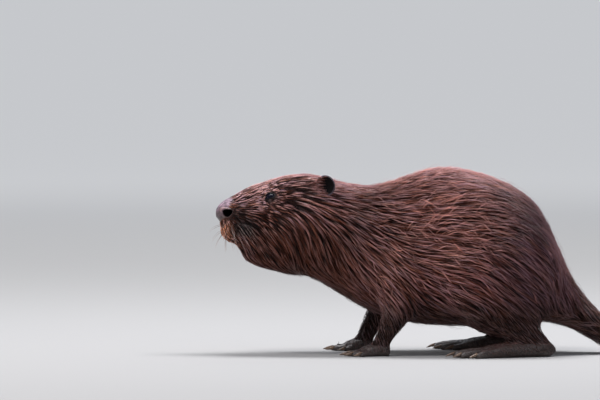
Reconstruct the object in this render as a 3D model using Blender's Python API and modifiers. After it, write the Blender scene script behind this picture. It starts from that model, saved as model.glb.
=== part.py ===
"""Life-size still model of a Eurasian beaver standing hunched, as it wades in the shallows.

The solids give the animal out to the tips of its coat. Lengths are in millimetres, measured back from the
tip of the nose (x), out from the middle of the body (y) and up from the ground (z), and MM turns them into
metres. The whole animal is fused first, parted with thin cuts, and moved at the end so that the origin is
under the middle of its box. It looks along -X, and its left side is at -Y.
"""

import math

import bmesh
import bpy
import numpy as np
from mathutils import Matrix, Vector
from mathutils.bvhtree import BVHTree

MM = 0.001
GAP = 0.3  # clearance left by each cut
SIDES = {"left": -1, "right": 1}

# Trunk and head: (x, top, widest, bottom, half width), the back's line from the nose to the root of the tail
BODY = (
    (7, 186, 179, 170, 13),
    (15, 200, 177, 160, 23),
    (28, 223, 177, 153, 30),
    (48, 235, 178, 148, 37),
    (76, 244, 180, 137, 51),
    (105, 252, 179, 124, 61),
    (135, 253, 174, 107, 66),
    (172, 243.5, 164, 84, 69),
    (212, 236, 150, 60, 75),
    (250, 244.5, 137, 46, 86),
    (288, 258, 127, 40, 97),
    (322, 263, 120, 38, 105),
    (365, 256, 113, 38, 112),
    (405, 241, 108, 42, 113),
    (438, 222, 102, 44, 106),
    (462, 191, 94, 44, 90),
    (482, 146, 82, 40, 69),
    (505, 98, 64, 30, 49),
    (532, 68, 43, 14, 38),
    (556, 48, 27, 2, 34),
    (574, 39, 20, 0, 31),
)
BODY_POWER = 2.2  # roundness of a section: 2 is an ellipse, more is squarer

# Lower jaw and throat, the same columns
JAW = (
    (35, 156, 147, 138, 9),
    (41, 165, 145, 131, 20),
    (56, 178, 145, 122, 33),
    (80, 188, 146, 115, 45),
    (120, 190, 142, 106, 54),
)

# Bare nose pad, the same columns, and its two nostrils
NOSE = (
    (0.3, 200, 196, 191.5, 7),
    (2.5, 205.5, 197, 188.5, 12.5),
    (7, 210.5, 198, 186, 16.5),
    (13, 215, 199, 186, 19),
    (19, 218.5, 200, 188, 20),
    (26, 221.5, 202, 193, 18.5),
)
NOSE_POWER = 2.5
NOSTRIL = {"at": (16.5, 20, 198), "radii": (6, 7, 4.4), "lean": 18}

# Masses on each side of the head, as ellipsoids (centre, radii, lean): lip, brow and cheek
FACE = (
    ((25, 14, 173), (19, 16, 19), 15),
    ((76, 29, 226), (24, 11, 8), -14),
    ((108, 36, 168), (44, 31, 44), -30),
)

EYE = {"x": 76.3, "z": 220.5, "radius": 7.3, "depth": 4.6, "socket": (11, 5, 7.5), "socket_out": 3}
EAR = {"x": 156, "z": 231, "radii": (13.5, 9, 15.5), "wall": 2.6, "out": 5, "turn": 24, "lean": 20}

# Limbs: (x, y, z, radius across, radius along the body) from the trunk to the ankle
FORELEG = (
    (222, 44, 140, 34, 36),
    (248, 60, 112, 32, 35),
    (256, 68, 86, 25, 28),
    (243, 67, 56, 19.5, 21),
    (229, 65, 31, 15, 16),
    (222, 65, 15, 12, 13),
)
HINDLEG = (
    (372, 74, 118, 40, 52),
    (352, 90, 92, 30, 36),
    (372, 92, 66, 25, 27),
    (410, 87, 44, 19, 20),
    (440, 82, 28, 14, 15),
    (452, 80, 16, 12.5, 13),
)
THIGH = {"at": (400, 62, 112), "radii": (82, 56, 88), "lean": 14}
SHOULDER = {"at": (232, 40, 128), "radii": (48, 46, 62), "lean": -14}
STRIDE = {"fore": {"left": 8, "right": -14}, "hind": {"left": 6, "right": -16}}

# Feet: digits are (length past the ball, angle out from the middle, radius), first digit to fifth
FOREFOOT = {
    "ankle": (222, 65),
    "splay": 12,
    "sole": ((12, 13, 9), (-2, 14, 9.5), (-16, 14.5, 8.5), (-25, 11, 7)),
    "ball": 17,
    "digits": ((13, -44, 4.2), (26, -20, 4.7), (30, -3, 4.9), (28, 13, 4.7), (22, 31, 4.4)),
    "web": None,
    "claw": (15, 2.6, 3.2),
    "triangles": 260,
}
HINDFOOT = {
    "ankle": (452, 80),
    "splay": 13,
    "sole": ((14, 13, 10), (-6, 16, 12), (-40, 21, 11), (-74, 29, 9), (-84, 25, 7.5)),
    "ball": 68,
    "digits": ((36, -27, 5.4), (52, -14, 6), (63, -1, 6.6), (60, 12, 6.4), (46, 26, 5.8)),
    "web": {"reach": 0.84, "dip": 0.72, "thick": 3.2},
    "claw": (15, 3, 3),
    "triangles": 380,
}
SOLE_SINK = 1.2  # how far the soles reach below the ground before it trims them flat

# Tail paddle: (x, half width, thickness at the middle), lying flat on the ground
PADDLE = (
    (552, 27, 30),
    (572, 30, 24),
    (600, 40, 17.5),
    (640, 52, 14),
    (690, 58.5, 12.5),
    (735, 57, 11),
    (771, 46, 9.5),
    (797, 28, 8),
    (808, 13, 6.5),
)
PADDLE_EDGE = 4.5  # thickness along the rim

# Cuts between the parts: where each plane crosses the body's middle height, and its lean back at the top
HEAD_CUT = {"x": 146, "z": 180, "lean": 34}
NECK_CUT = {"x": 196, "z": 150, "lean": 24}
TAIL_CUT = {"x": 519, "z": 60, "lean": 16}
JAW_CUT = {"x": 60, "z": 156, "lean": 10, "radii": (37, 27)}
FORELEG_CELL = {"at": (237, 90), "radii": (45, 92), "from": 46}
HINDLEG_CELL = {"at": (402, 100), "radii": (88, 104), "from": 60}
CELL_POWER = 3.2  # squareness of the ovals that the limbs are cut out with
FAR = 700  # half size of a cutter that has no edge of its own inside the body

BODY_VOXEL, FOOT_VOXEL, EAR_VOXEL = 3.6, 1.5, 1.1
BODY_TRIANGLES, EAR_TRIANGLES, EYE_RINGS, NOSE_SIDES = 2700, 150, 6, 12
HEAD_SPARED = 0.00004  # weight that keeps the head finer than the trunk

# Colour, roughness
FUR = ("beaver_fur", (0.16, 0.078, 0.05), 0.75)
BARE_SKIN = ("beaver_bare_skin", (0.045, 0.036, 0.034), 0.55)
NOSE_SKIN = ("beaver_nose_skin", (0.11, 0.075, 0.075), 0.5)
EAR_SKIN = ("beaver_ear_skin", (0.035, 0.024, 0.024), 0.65)
EYE_BALL = ("beaver_eye", (0.006, 0.006, 0.009), 0.08)
CLAW_HORN = ("beaver_claw", (0.06, 0.042, 0.03), 0.4)


def clear_scene():
    for obj in list(bpy.data.objects):
        bpy.data.objects.remove(obj)


def material(spec):
    name, colour, roughness = spec
    made = bpy.data.materials.get(name)
    if made is None:
        made = bpy.data.materials.new(name)
        made.use_nodes = True
        shader = made.node_tree.nodes["Principled BSDF"]
        shader.inputs["Base Color"].default_value = (*colour, 1)
        shader.inputs["Roughness"].default_value = roughness
        shader.inputs["Metallic"].default_value = 0
    return made


def collection(name):
    made = bpy.data.collections.new(name)
    bpy.context.scene.collection.children.link(made)
    return made


def new_object(name, mesh):
    made = bpy.data.objects.new(name, mesh)
    bpy.context.scene.collection.objects.link(made)
    return made


def object_from_bmesh(name, shape):
    bmesh.ops.recalc_face_normals(shape, faces=shape.faces)
    mesh = bpy.data.meshes.new(name)
    shape.to_mesh(mesh)
    shape.free()
    return new_object(name, mesh)


def loft(name, rings):
    """A closed skin through rings of equally many points, with a flat cap on each end."""
    shape = bmesh.new()
    rows = [[shape.verts.new(Vector(p) * MM) for p in ring] for ring in rings]
    count = len(rows[0])
    for row, after in zip(rows, rows[1:]):
        for i in range(count):
            j = (i + 1) % count
            shape.faces.new((row[i], row[j], after[j], after[i]))
    shape.faces.new(rows[0])
    shape.faces.new(rows[-1])
    return object_from_bmesh(name, shape)


def smooth_rows(rows, steps):
    """Catmull-Rom rows between the given ones, so that a short table makes a smooth form."""
    table = np.array(rows, float)
    ends = np.vstack([2 * table[0] - table[1], table, 2 * table[-1] - table[-2]])
    made = []
    for a, b, c, d in zip(ends, ends[1:], ends[2:], ends[3:]):
        for t in np.arange(steps) / steps:
            made.append(
                b + 0.5 * t * (c - a + t * (2 * a - 5 * b + 4 * c - d + t * (3 * (b - c) + d - a)))
            )
    made.append(table[-1])
    return made


def section(x, top, widest, bottom, half_width, sides=28, power=BODY_POWER):
    """An upright ring across the body, rounder or squarer by power, with its widest point off centre."""
    points = []
    for i in range(sides):
        angle = 2 * math.pi * i / sides
        across, up = math.cos(angle), math.sin(angle)
        height = top - widest if up > 0 else widest - bottom
        points.append(
            (
                x,
                half_width * math.copysign(abs(across) ** (2 / power), across),
                widest + height * math.copysign(abs(up) ** (2 / power), up),
            )
        )
    return points


def body_loft(name, rows, steps=4, sides=28, power=BODY_POWER):
    return loft(name, [section(*row, sides=sides, power=power) for row in smooth_rows(rows, steps)])


def limb_loft(name, rows, side, shift, steps=3, sides=14):
    """A limb: rings square to its line, given as (x, y, z, radius across, radius along the body)."""
    smooth = smooth_rows(rows, steps)
    centres = [Vector((r[0] + shift, side * r[1], r[2])) for r in smooth]
    rings = []
    for i, row in enumerate(smooth):
        line = (centres[min(i + 1, len(smooth) - 1)] - centres[max(i - 1, 0)]).normalized()
        across = Vector((0, 1, 0))
        across = (across - across.dot(line) * line).normalized()
        along = line.cross(across)
        rings.append(
            [
                centres[i]
                + across * row[3] * math.cos(2 * math.pi * k / sides)
                + along * row[4] * math.sin(2 * math.pi * k / sides)
                for k in range(sides)
            ]
        )
    return loft(name, rings)


def ball(name, centre, radii, lean=0.0, segments=24, rings=16, grow=0.0):
    """An ellipsoid, leaning back by lean degrees."""
    shape = bmesh.new()
    bmesh.ops.create_uvsphere(shape, u_segments=segments, v_segments=rings, radius=1)
    size = Matrix.Diagonal([(r + grow) * MM for r in radii]).to_4x4()
    place = Matrix.Translation(Vector(centre) * MM) @ Matrix.Rotation(math.radians(lean), 4, "Y")
    bmesh.ops.transform(shape, matrix=place @ size, verts=shape.verts)
    return object_from_bmesh(name, shape)


def box(name, low, high, place=Matrix.Identity(4)):
    shape = bmesh.new()
    bmesh.ops.create_cube(shape, size=1)
    low, high = Vector(low), Vector(high)
    size = Matrix.Diagonal((high - low) * MM).to_4x4()
    middle = Matrix.Translation((low + high) / 2 * MM)
    bmesh.ops.transform(shape, matrix=place @ middle @ size, verts=shape.verts)
    return object_from_bmesh(name, shape)


def baked(obj):
    """Replaces the object's mesh by what its modifiers make of it."""
    graph = bpy.context.evaluated_depsgraph_get()
    mesh = bpy.data.meshes.new_from_object(obj.evaluated_get(graph))
    mesh.transform(obj.matrix_world)
    obj.modifiers.clear()
    obj.matrix_world = Matrix.Identity(4)
    obj.data = mesh
    return obj


def copied(obj, name):
    return new_object(name, obj.data.copy())


def removed(*objects):
    for obj in objects:
        bpy.data.objects.remove(obj)


def boolean(obj, cutter, operation):
    step = obj.modifiers.new(operation.lower(), "BOOLEAN")
    step.operation = operation
    step.solver = "EXACT"
    step.object = cutter
    return baked(obj)


def cut(obj, *cutters):
    for cutter in cutters:
        boolean(obj, cutter, "DIFFERENCE")
        removed(cutter)
    return obj


def kept_inside(obj, cell):
    boolean(obj, cell, "INTERSECT")
    removed(cell)
    return obj


def grown(obj, by=GAP):
    """A copy whose surface is moved outwards, to cut a neighbour with some clearance."""
    made = copied(obj, obj.name + "_grown")
    shape = bmesh.new()
    shape.from_mesh(made.data)
    bmesh.ops.triangulate(shape, faces=shape.faces)
    bmesh.ops.remove_doubles(shape, verts=shape.verts, dist=0.01 * MM)
    shape.normal_update()
    moves = [v.normal * by * MM for v in shape.verts]
    for vert, move in zip(shape.verts, moves):
        vert.co += move
    shape.to_mesh(made.data)
    shape.free()
    return made


def joined(name, objects):
    shape = bmesh.new()
    for obj in objects:
        shape.from_mesh(obj.data)
    removed(*objects)
    mesh = bpy.data.meshes.new(name)
    shape.to_mesh(mesh)
    shape.free()
    return new_object(name, mesh)


def fused(name, objects, voxel, smoothing, triangles, spared=None):
    """One smooth closed skin round the overlapping pieces, reduced to about that many triangles.

    spared(point) is from 0 to 1: where it is 1, fewer triangles go.
    """
    obj = joined(name, objects)
    remesh = obj.modifiers.new("fuse", "REMESH")
    remesh.mode = "VOXEL"
    remesh.voxel_size = voxel * MM
    blend = obj.modifiers.new("blend", "SMOOTH")
    blend.factor = 0.5
    blend.iterations = smoothing
    baked(obj)
    reduce = obj.modifiers.new("reduce", "DECIMATE")
    reduce.ratio = triangles / (2 * len(obj.data.polygons))
    if spared:
        group = obj.vertex_groups.new(name="reduced")
        for vertex in obj.data.vertices:
            group.add([vertex.index], 1 - spared(vertex.co), "REPLACE")
        reduce.vertex_group = group.name
        reduce.vertex_group_factor = 1
    baked(obj)
    obj.vertex_groups.clear()
    return obj


def slab(name, cut_spec, ahead, behind, back_shift=0.0):
    """A block whose faces are parallel to a leaning cut plane, from ahead of it to behind it."""
    pivot = Vector((cut_spec["x"] + back_shift, 0, cut_spec["z"])) * MM
    place = Matrix.Translation(pivot) @ Matrix.Rotation(math.radians(cut_spec["lean"]), 4, "Y")
    return box(name, (-ahead, -FAR, -FAR), (behind, FAR, FAR), place)


def limb_cell(name, spec, side, shift, grow=0.0):
    """An oval cylinder pointing outwards, which holds one limb and the mass of muscle above it."""
    x, z = spec["at"]
    along, up = spec["radii"][0] + grow, spec["radii"][1] + grow
    oval = section(0, up, 0, -up, along, sides=24, power=CELL_POWER)
    depths = (spec["from"] - grow, FAR)
    return loft(name, [[(x + shift + a, side * y, z + b) for _, a, b in oval] for y in depths])


def jaw_cell(grow=0.0):
    """An upright oval cylinder under the mouth's line, which holds the lower jaw."""
    along, across = JAW_CUT["radii"][0] + grow, JAW_CUT["radii"][1] + grow
    oval = section(0, across, 0, -across, along, sides=20)
    slope = math.tan(math.radians(JAW_CUT["lean"]))
    roof = [(JAW_CUT["x"] + a, b, JAW_CUT["z"] + slope * a + grow) for _, a, b in oval]
    return loft("jaw_cell", [[(x, y, 0) for x, y, _ in roof], roof])


def on_surface(tree, x, z, side):
    """Where the body's flank is at that length and height, and the way out of it there."""
    start = Vector((x, side * FAR, z)) * MM
    point, normal, _, _ = tree.ray_cast(start, Vector((0, -side, 0)))
    if normal.y * side < 0:
        normal.negate()
    return point / MM, normal


def foot_place(spec, side, shift):
    """From a foot's own axes, with the toes along -X and the first digit on the -Y side, to its place."""
    x, y = spec["ankle"]
    turn = Matrix.Rotation(math.radians(side * -spec["splay"]), 4, "Z")
    mirror = Matrix.Diagonal((1, side, 1, 1))
    return Matrix.Translation(Vector((x + shift, side * y, 0)) * MM) @ turn @ mirror


def digit_line(spec, digit):
    """(root, way, length, radius) of one digit in the foot's own axes."""
    length, angle, radius = digit
    way = Vector((-math.cos(math.radians(angle)), math.sin(math.radians(angle)), 0))
    root = Vector((-spec["ball"] + 10, 0, 0)) + Vector((0, 1, 0)) * 0.42 * angle * spec["sole"][-1][1] / 26
    return root, way, length + 10, radius


def digit_piece(spec, digit):
    """A tapering digit that arches a little over its joint and lies on the ground at its tip."""
    root, way, length, radius = digit_line(spec, digit)
    side = Vector((-way.y, way.x, 0))
    rings = []
    for t, swell in ((0, 1.15), (0.3, 1.08), (0.55, 1.0), (0.78, 0.98), (0.93, 0.86), (1.0, 0.5)):
        r = radius * swell
        height = r - SOLE_SINK + 0.35 * radius * math.sin(math.pi * min(1, t * 1.1)) ** 2
        centre = root + way * length * t + Vector((0, 0, height))
        rings.append(
            [
                centre + side * r * math.cos(a) + Vector((0, 0, 1)) * r * math.sin(a)
                for a in (2 * math.pi * k / 10 for k in range(10))
            ]
        )
    return loft("digit", rings)


def sole_piece(spec):
    rows = [(x, 2 * height - SOLE_SINK, height - SOLE_SINK, -SOLE_SINK, width) for x, width, height in spec["sole"]]
    return body_loft("sole", rows, steps=3, sides=18, power=2.4)


def web_piece(spec):
    """The skin between the toes: a thin plate whose front edge dips between each pair of digits."""
    web = spec["web"]
    lines = [digit_line(spec, digit) for digit in spec["digits"]]
    ends = [root + way * length * web["reach"] for root, way, length, _ in lines]
    outline = []
    for i, end in enumerate(ends):
        outline.append(end)
        if i + 1 < len(ends):
            (root, way, length, _), (root2, way2, length2, _) = lines[i], lines[i + 1]
            near = root + way * length * web["dip"]
            far = root2 + way2 * length2 * web["dip"]
            outline.append((near + far) / 2)
    heel = Vector((-spec["ball"] + 22, 0, 0))
    outline += [heel + Vector((0, 16, 0)), heel - Vector((0, 16, 0))]
    bottom = -SOLE_SINK
    return loft("web", [[p + Vector((0, 0, z)) for p in outline] for z in (bottom, bottom + web["thick"] + SOLE_SINK)])


def claw_piece(name, spec, digit, place):
    """A curved horn from inside a digit's tip, down towards the ground without touching it."""
    length, half_width, half_height = spec["claw"]
    root, way, reach, radius = digit_line(spec, digit)
    side = Vector((-way.y, way.x, 0))
    start = root + way * (reach - 4.5) + Vector((0, 0, radius * 0.98))
    rings = []
    for t in (0, 0.55, 1.0):
        taper = (1 - t**1.8) * 0.9 + 0.1
        drop = (start.z - 1.9) * t**1.7
        centre = start + way * length * t - Vector((0, 0, drop))
        rings.append(
            [
                centre
                + side * half_width * taper * math.cos(a)
                + Vector((0, 0, 1)) * half_height * taper * math.sin(a)
                for a in (2 * math.pi * k / 5 for k in range(5))
            ]
        )
    obj = loft(name, rings)
    obj.data.transform(place)
    return obj


def flesh():
    """The whole furred animal except the ears, feet and paddle, as one closed skin."""
    pieces = [body_loft("body", BODY), body_loft("jaw", JAW)]
    for name, side in SIDES.items():
        pieces += [ball("mass", (x, side * y, z), radii, lean) for (x, y, z), radii, lean in FACE]
        fore, hind = STRIDE["fore"][name], STRIDE["hind"][name]
        pieces.append(limb_loft("foreleg", FORELEG, side, fore))
        pieces.append(limb_loft("hindleg", HINDLEG, side, hind))
        for spec, shift in ((THIGH, hind), (SHOULDER, fore)):
            x, y, z = spec["at"]
            pieces.append(ball("muscle", (x + shift / 2, side * y, z), spec["radii"], spec["lean"]))
    return fused(
        "flesh",
        pieces,
        BODY_VOXEL,
        smoothing=9,
        triangles=BODY_TRIANGLES,
        spared=lambda p: HEAD_SPARED * (p.x < HEAD_CUT["x"] * MM),
    )


def foot(name, spec, side, shift):
    pieces = [sole_piece(spec)] + [digit_piece(spec, digit) for digit in spec["digits"]]
    if spec["web"]:
        pieces.append(web_piece(spec))
    obj = fused(name, pieces, FOOT_VOXEL, smoothing=3, triangles=spec["triangles"])
    obj.data.transform(foot_place(spec, side, shift))
    if side < 0:
        obj.data.flip_normals()
    return obj


def paddle():
    """The flat scaly part of the tail: thin rim, low ridge along the middle, flat underside on the ground."""
    rings = []
    sides = 14
    for x, half_width, thickness in PADDLE:
        ring = []
        for i in range(sides):
            angle = 2 * math.pi * i / sides
            y = half_width * math.cos(angle)
            crown = thickness * (1 - abs(math.cos(angle)) ** 2.2) + PADDLE_EDGE * 0.5
            z = crown * math.sin(angle) ** 0.7 if math.sin(angle) > 0 else PADDLE_EDGE * 0.5 * math.sin(angle)
            ring.append((x, y, PADDLE_EDGE * 0.3 + z))
        rings.append(ring)
    return loft("tail_paddle", rings)


def ear(name, tree, side):
    """A round cup with its mouth outwards and forwards, on a short root."""
    point, _ = on_surface(tree, EAR["x"], EAR["z"], side)
    cup = bmesh.new()
    bmesh.ops.create_uvsphere(cup, u_segments=24, v_segments=14, radius=1)
    mouth = [v for v in cup.verts if v.co.y < -0.05]
    bmesh.ops.delete(cup, geom=mouth, context="VERTS")
    bmesh.ops.transform(cup, matrix=Matrix.Diagonal([r * MM for r in EAR["radii"]]).to_4x4(), verts=cup.verts)
    shell = object_from_bmesh("shell", cup)
    wall = shell.modifiers.new("wall", "SOLIDIFY")
    wall.thickness = EAR["wall"] * MM
    wall.offset = -1
    baked(shell)
    root = ball("root", (1, 4, -11), (8, 6, 11))
    obj = fused(name, [shell, root], EAR_VOXEL, smoothing=2, triangles=EAR_TRIANGLES)
    turned = Matrix.Rotation(math.radians(-EAR["turn"]), 4, "Z") @ Matrix.Rotation(
        math.radians(EAR["lean"]), 4, "X"
    )
    obj.data.transform(turned)
    if side > 0:
        obj.data.transform(Matrix.Diagonal((1, -1, 1, 1)))
        obj.data.flip_normals()
    obj.data.transform(Matrix.Translation((point + Vector((0, side * EAR["out"], 4))) * MM))
    return obj


def eye(name, tree, side):
    point, way = on_surface(tree, EYE["x"], EYE["z"], side)
    return ball(
        name,
        point - way * EYE["depth"],
        [EYE["radius"]] * 3,
        segments=2 * EYE_RINGS,
        rings=EYE_RINGS,
    )


def eye_cutters(tree, side):
    point, way = on_surface(tree, EYE["x"], EYE["z"], side)
    socket = ball("socket", (0, 0, 0), EYE["socket"], segments=12, rings=8)
    turned = Vector((0, side, 0)).rotation_difference(way).to_matrix().to_4x4()
    socket.data.transform(Matrix.Translation((point + way * EYE["socket_out"]) * MM) @ turned)
    room = ball(
        "eye_room",
        point - way * EYE["depth"],
        [EYE["radius"] / math.cos(math.pi / (2 * EYE_RINGS))] * 3,
        segments=2 * EYE_RINGS,
        rings=EYE_RINGS,
        grow=GAP,
    )
    return socket, room


def nose():
    obj = body_loft("nose", NOSE, steps=1, sides=NOSE_SIDES, power=NOSE_POWER)
    for side in SIDES.values():
        x, y, z = NOSTRIL["at"]
        cut(obj, ball("nostril", (x, side * y, z), NOSTRIL["radii"], NOSTRIL["lean"], segments=8, rings=6))
    return obj


def above_ground(obj):
    return kept_inside(obj, box("ground", (-FAR, -FAR, 0), (2 * FAR, FAR, FAR)))


def parted(flesh_obj):
    """The furred body cut into its named parts, each a closed solid."""
    cells = {}
    for name, side in SIDES.items():
        cells[f"foreleg_{name}"] = (FORELEG_CELL, side, STRIDE["fore"][name])
        cells[f"hindleg_{name}"] = (HINDLEG_CELL, side, STRIDE["hind"][name])
    rest = copied(flesh_obj, "rest")
    parts = []
    for name, spec in cells.items():
        parts.append(kept_inside(copied(flesh_obj, name), limb_cell("cell", *spec)))
        cut(rest, limb_cell("cell", *spec, grow=GAP))
    jaw = kept_inside(copied(rest, "lower_jaw"), jaw_cell())
    cut(rest, jaw_cell(GAP))
    head = kept_inside(copied(rest, "head"), slab("cell", HEAD_CUT, FAR, 0))
    neck = kept_inside(copied(rest, "neck"), slab("cell", HEAD_CUT, 0, FAR, GAP))
    kept_inside(neck, slab("cell", NECK_CUT, FAR, 0))
    tail = kept_inside(copied(rest, "tail_root"), slab("cell", TAIL_CUT, 0, FAR, GAP))
    trunk = kept_inside(copied(rest, "trunk"), slab("cell", NECK_CUT, 0, FAR, GAP))
    kept_inside(trunk, slab("cell", TAIL_CUT, FAR, 0))
    removed(rest)
    return [*parts, jaw, head, neck, tail, trunk]


def dress(obj, spec, group):
    """Gives a finished part its material, shading and collection."""
    obj.data.materials.clear()
    obj.data.materials.append(material(spec))
    obj.data.shade_smooth()
    obj.data.set_sharp_from_angle(angle=math.radians(40))
    for other in list(obj.users_collection):
        other.objects.unlink(obj)
    group.objects.link(obj)
    return obj


def centred(objects):
    """Moves the animal so that the origin is on the ground, under the middle of its box."""
    corners = [v.co for obj in objects for v in obj.data.vertices]
    low = [min(c[i] for c in corners) for i in range(3)]
    high = [max(c[i] for c in corners) for i in range(3)]
    shift = Matrix.Translation((-(low[0] + high[0]) / 2, -(low[1] + high[1]) / 2, -low[2]))
    for obj in objects:
        obj.data.transform(shift)


def main():
    clear_scene()
    beaver = collection("beaver")
    body = above_ground(flesh())
    nose_pad = nose()
    cut(body, grown(nose_pad))
    tree = BVHTree.FromPolygons([v.co for v in body.data.vertices], [p.vertices for p in body.data.polygons])

    made = [(nose_pad, NOSE_SKIN)]
    for name, side in SIDES.items():
        made.append((eye(f"eye_{name}", tree, side), EYE_BALL))
        cut(body, *eye_cutters(tree, side))
    room = grown(body)
    for name, side in SIDES.items():
        made.append((boolean(ear(f"ear_{name}", tree, side), room, "DIFFERENCE"), EAR_SKIN))
        for kind, spec in (("fore", FOREFOOT), ("hind", HINDFOOT)):
            shift = STRIDE[kind][name]
            paw = above_ground(foot(f"{kind}foot_{name}", spec, side, shift))
            boolean(paw, room, "DIFFERENCE")
            made.append((paw, BARE_SKIN))
            clearance = grown(paw)
            for number, digit in enumerate(spec["digits"], 1):
                place = foot_place(spec, side, shift)
                claw = claw_piece(f"claw_{kind}_{name}_{number}", spec, digit, place)
                if side < 0:
                    claw.data.flip_normals()
                made.append((boolean(claw, clearance, "DIFFERENCE"), CLAW_HORN))
            removed(clearance)
    made.append((boolean(above_ground(paddle()), room, "DIFFERENCE"), BARE_SKIN))
    removed(room)
    made += [(part, FUR) for part in parted(body)]
    removed(body)
    for obj, spec in made:
        dress(obj, spec, beaver)
    centred([obj for obj, _ in made])


main()
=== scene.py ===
"""Looks of the life-size beaver: one skin inside its solids, a coat of solid locks, eyes, claws and scales.

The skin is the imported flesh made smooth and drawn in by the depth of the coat, with lids, ears, nose and
feet joined to it. The coat is made of thin pointed strands gathered into locks that follow the lie of the
hair. Places are in millimetres back from the tip of the nose (x), to the right (y) and up (z).
"""

import math

import bmesh
import bpy
import numpy as np
from mathutils import Matrix, Vector, noise
from mathutils.bvhtree import BVHTree
from mathutils.kdtree import KDTree


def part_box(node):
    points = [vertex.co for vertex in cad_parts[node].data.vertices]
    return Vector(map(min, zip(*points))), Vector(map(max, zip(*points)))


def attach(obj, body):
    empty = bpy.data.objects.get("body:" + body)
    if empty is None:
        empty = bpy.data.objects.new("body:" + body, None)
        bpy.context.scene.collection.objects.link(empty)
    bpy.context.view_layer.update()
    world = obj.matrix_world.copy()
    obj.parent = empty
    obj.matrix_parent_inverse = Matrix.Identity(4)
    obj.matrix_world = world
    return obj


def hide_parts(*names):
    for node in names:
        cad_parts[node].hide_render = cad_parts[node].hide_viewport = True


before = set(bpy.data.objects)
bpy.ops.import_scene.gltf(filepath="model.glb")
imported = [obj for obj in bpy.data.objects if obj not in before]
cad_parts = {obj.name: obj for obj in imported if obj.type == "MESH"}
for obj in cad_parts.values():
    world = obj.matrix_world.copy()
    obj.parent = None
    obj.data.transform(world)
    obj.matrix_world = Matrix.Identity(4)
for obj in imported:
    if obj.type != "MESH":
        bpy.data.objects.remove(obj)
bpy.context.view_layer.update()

MM = 0.001
SIDES = {"left": -1, "right": 1}
TIP = np.array([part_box("nose")[0].x, 0, 0])  # tip of the nose, on the ground
rng = np.random.default_rng(7)

FURRED = ["head", "lower_jaw", "neck", "trunk", "tail_root"]
FURRED += [f"{limb}_{side}" for limb in ("foreleg", "hindleg") for side in SIDES]
FEET = [f"{foot}_{side}" for foot in ("forefoot", "hindfoot") for side in SIDES]
EARS = [f"ear_{side}" for side in SIDES]

SWELL = 0.5 * MM  # closes the thin cuts between the solids
FOOT_SWELL, CLAW_SWELL = 0.05 * MM, 0.25 * MM
BODY_VOXEL, FOOT_VOXEL, PADDLE_VOXEL = 3.6 * MM, 1.8 * MM, 3.0 * MM

# Depth of the coat over the skin, along the body, in mm
COAT_DEPTH = (
    (0, 0.8), (20, 0.55), (30, 0.8), (42, 1.8), (60, 2.6), (90, 4.2), (120, 6.5), (160, 8.5), (200, 10),
    (260, 11), (440, 11.5), (500, 9.5), (545, 7.5), (566, 6), (580, 2.6), (592, 1.2),
)
TAIL_TAPER = ((515, 1), (545, 0.94), (575, 0.8), (600, 0.8))  # how low the tail's root is drawn


def from_tip(points):
    """Millimetres back from the nose, to the right and up, for points in the frame."""
    return (np.asarray(points, float) - TIP) / MM


def in_frame(x, y, z):
    return Vector(TIP) + Vector((x, y, z)) * MM


def ramp(value, low, high):
    """0 below low, 1 above high, smooth between."""
    t = np.clip((value - low) / (high - low), 0, 1)
    return t * t * (3 - 2 * t)


def fall(value, low, high):
    """1 below low, 0 above high, smooth between."""
    return 1 - ramp(value, low, high)


def hill(*parts, power=2):
    """1 where the offset of each (offset, half width) pair is 0, and lower smoothly round it."""
    return np.exp(-sum((offset / wide) ** power for offset, wide in parts))


def unit(vectors):
    return vectors / np.maximum(np.linalg.norm(vectors, axis=-1, keepdims=True), 1e-12)


def along_table(table, value):
    return np.interp(value, *zip(*table))


def between(a, b, share):
    return a * (1 - share) + b * share


# ---------------------------------------------------------------- meshes


def new_object(name, mesh):
    made = bpy.data.objects.new(name, mesh)
    bpy.context.scene.collection.objects.link(made)
    return made


def from_bmesh(name, shape):
    bmesh.ops.recalc_face_normals(shape, faces=shape.faces)
    mesh = bpy.data.meshes.new(name)
    shape.to_mesh(mesh)
    shape.free()
    return new_object(name, mesh)


def baked(obj):
    """Replaces the object's mesh by what its modifiers make of it."""
    graph = bpy.context.evaluated_depsgraph_get()
    mesh = bpy.data.meshes.new_from_object(obj.evaluated_get(graph))
    obj.modifiers.clear()
    obj.data = mesh
    return obj


def read(elements, field, width=1, kind=np.float32):
    """A field of all the elements as rows of that width."""
    flat = np.empty(width * len(elements), kind)
    elements.foreach_get(field, flat)
    return flat.reshape(-1, width) if width > 1 else flat


def places(obj):
    return read(obj.data.vertices, "co", 3).astype(float)


def normals(obj):
    return read(obj.data.vertex_normals, "vector", 3).astype(float)


def put(obj, points):
    obj.data.vertices.foreach_set("co", points.astype(np.float32).ravel())
    obj.data.update()


def edited(obj, change):
    """Lets change work on the object's mesh as a bmesh."""
    shape = bmesh.new()
    shape.from_mesh(obj.data)
    change(shape)
    shape.to_mesh(obj.data)
    shape.free()


def smooth(obj, rounds, weight=1.0):
    """Moves each vertex towards the middle of its neighbours, rounds times."""
    a, b = read(obj.data.edges, "vertices", 2, np.int32).T
    points = places(obj)
    count = len(points)
    near = np.maximum(np.bincount(np.concatenate([a, b]), minlength=count), 1)[:, None]
    share = np.reshape(weight, (-1, 1)) * 0.6
    for _ in range(rounds):
        total = [
            np.bincount(a, points[b, k], minlength=count) + np.bincount(b, points[a, k], minlength=count)
            for k in range(3)
        ]
        points += share * (np.stack(total, axis=1) / near - points)
    put(obj, points)


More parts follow.
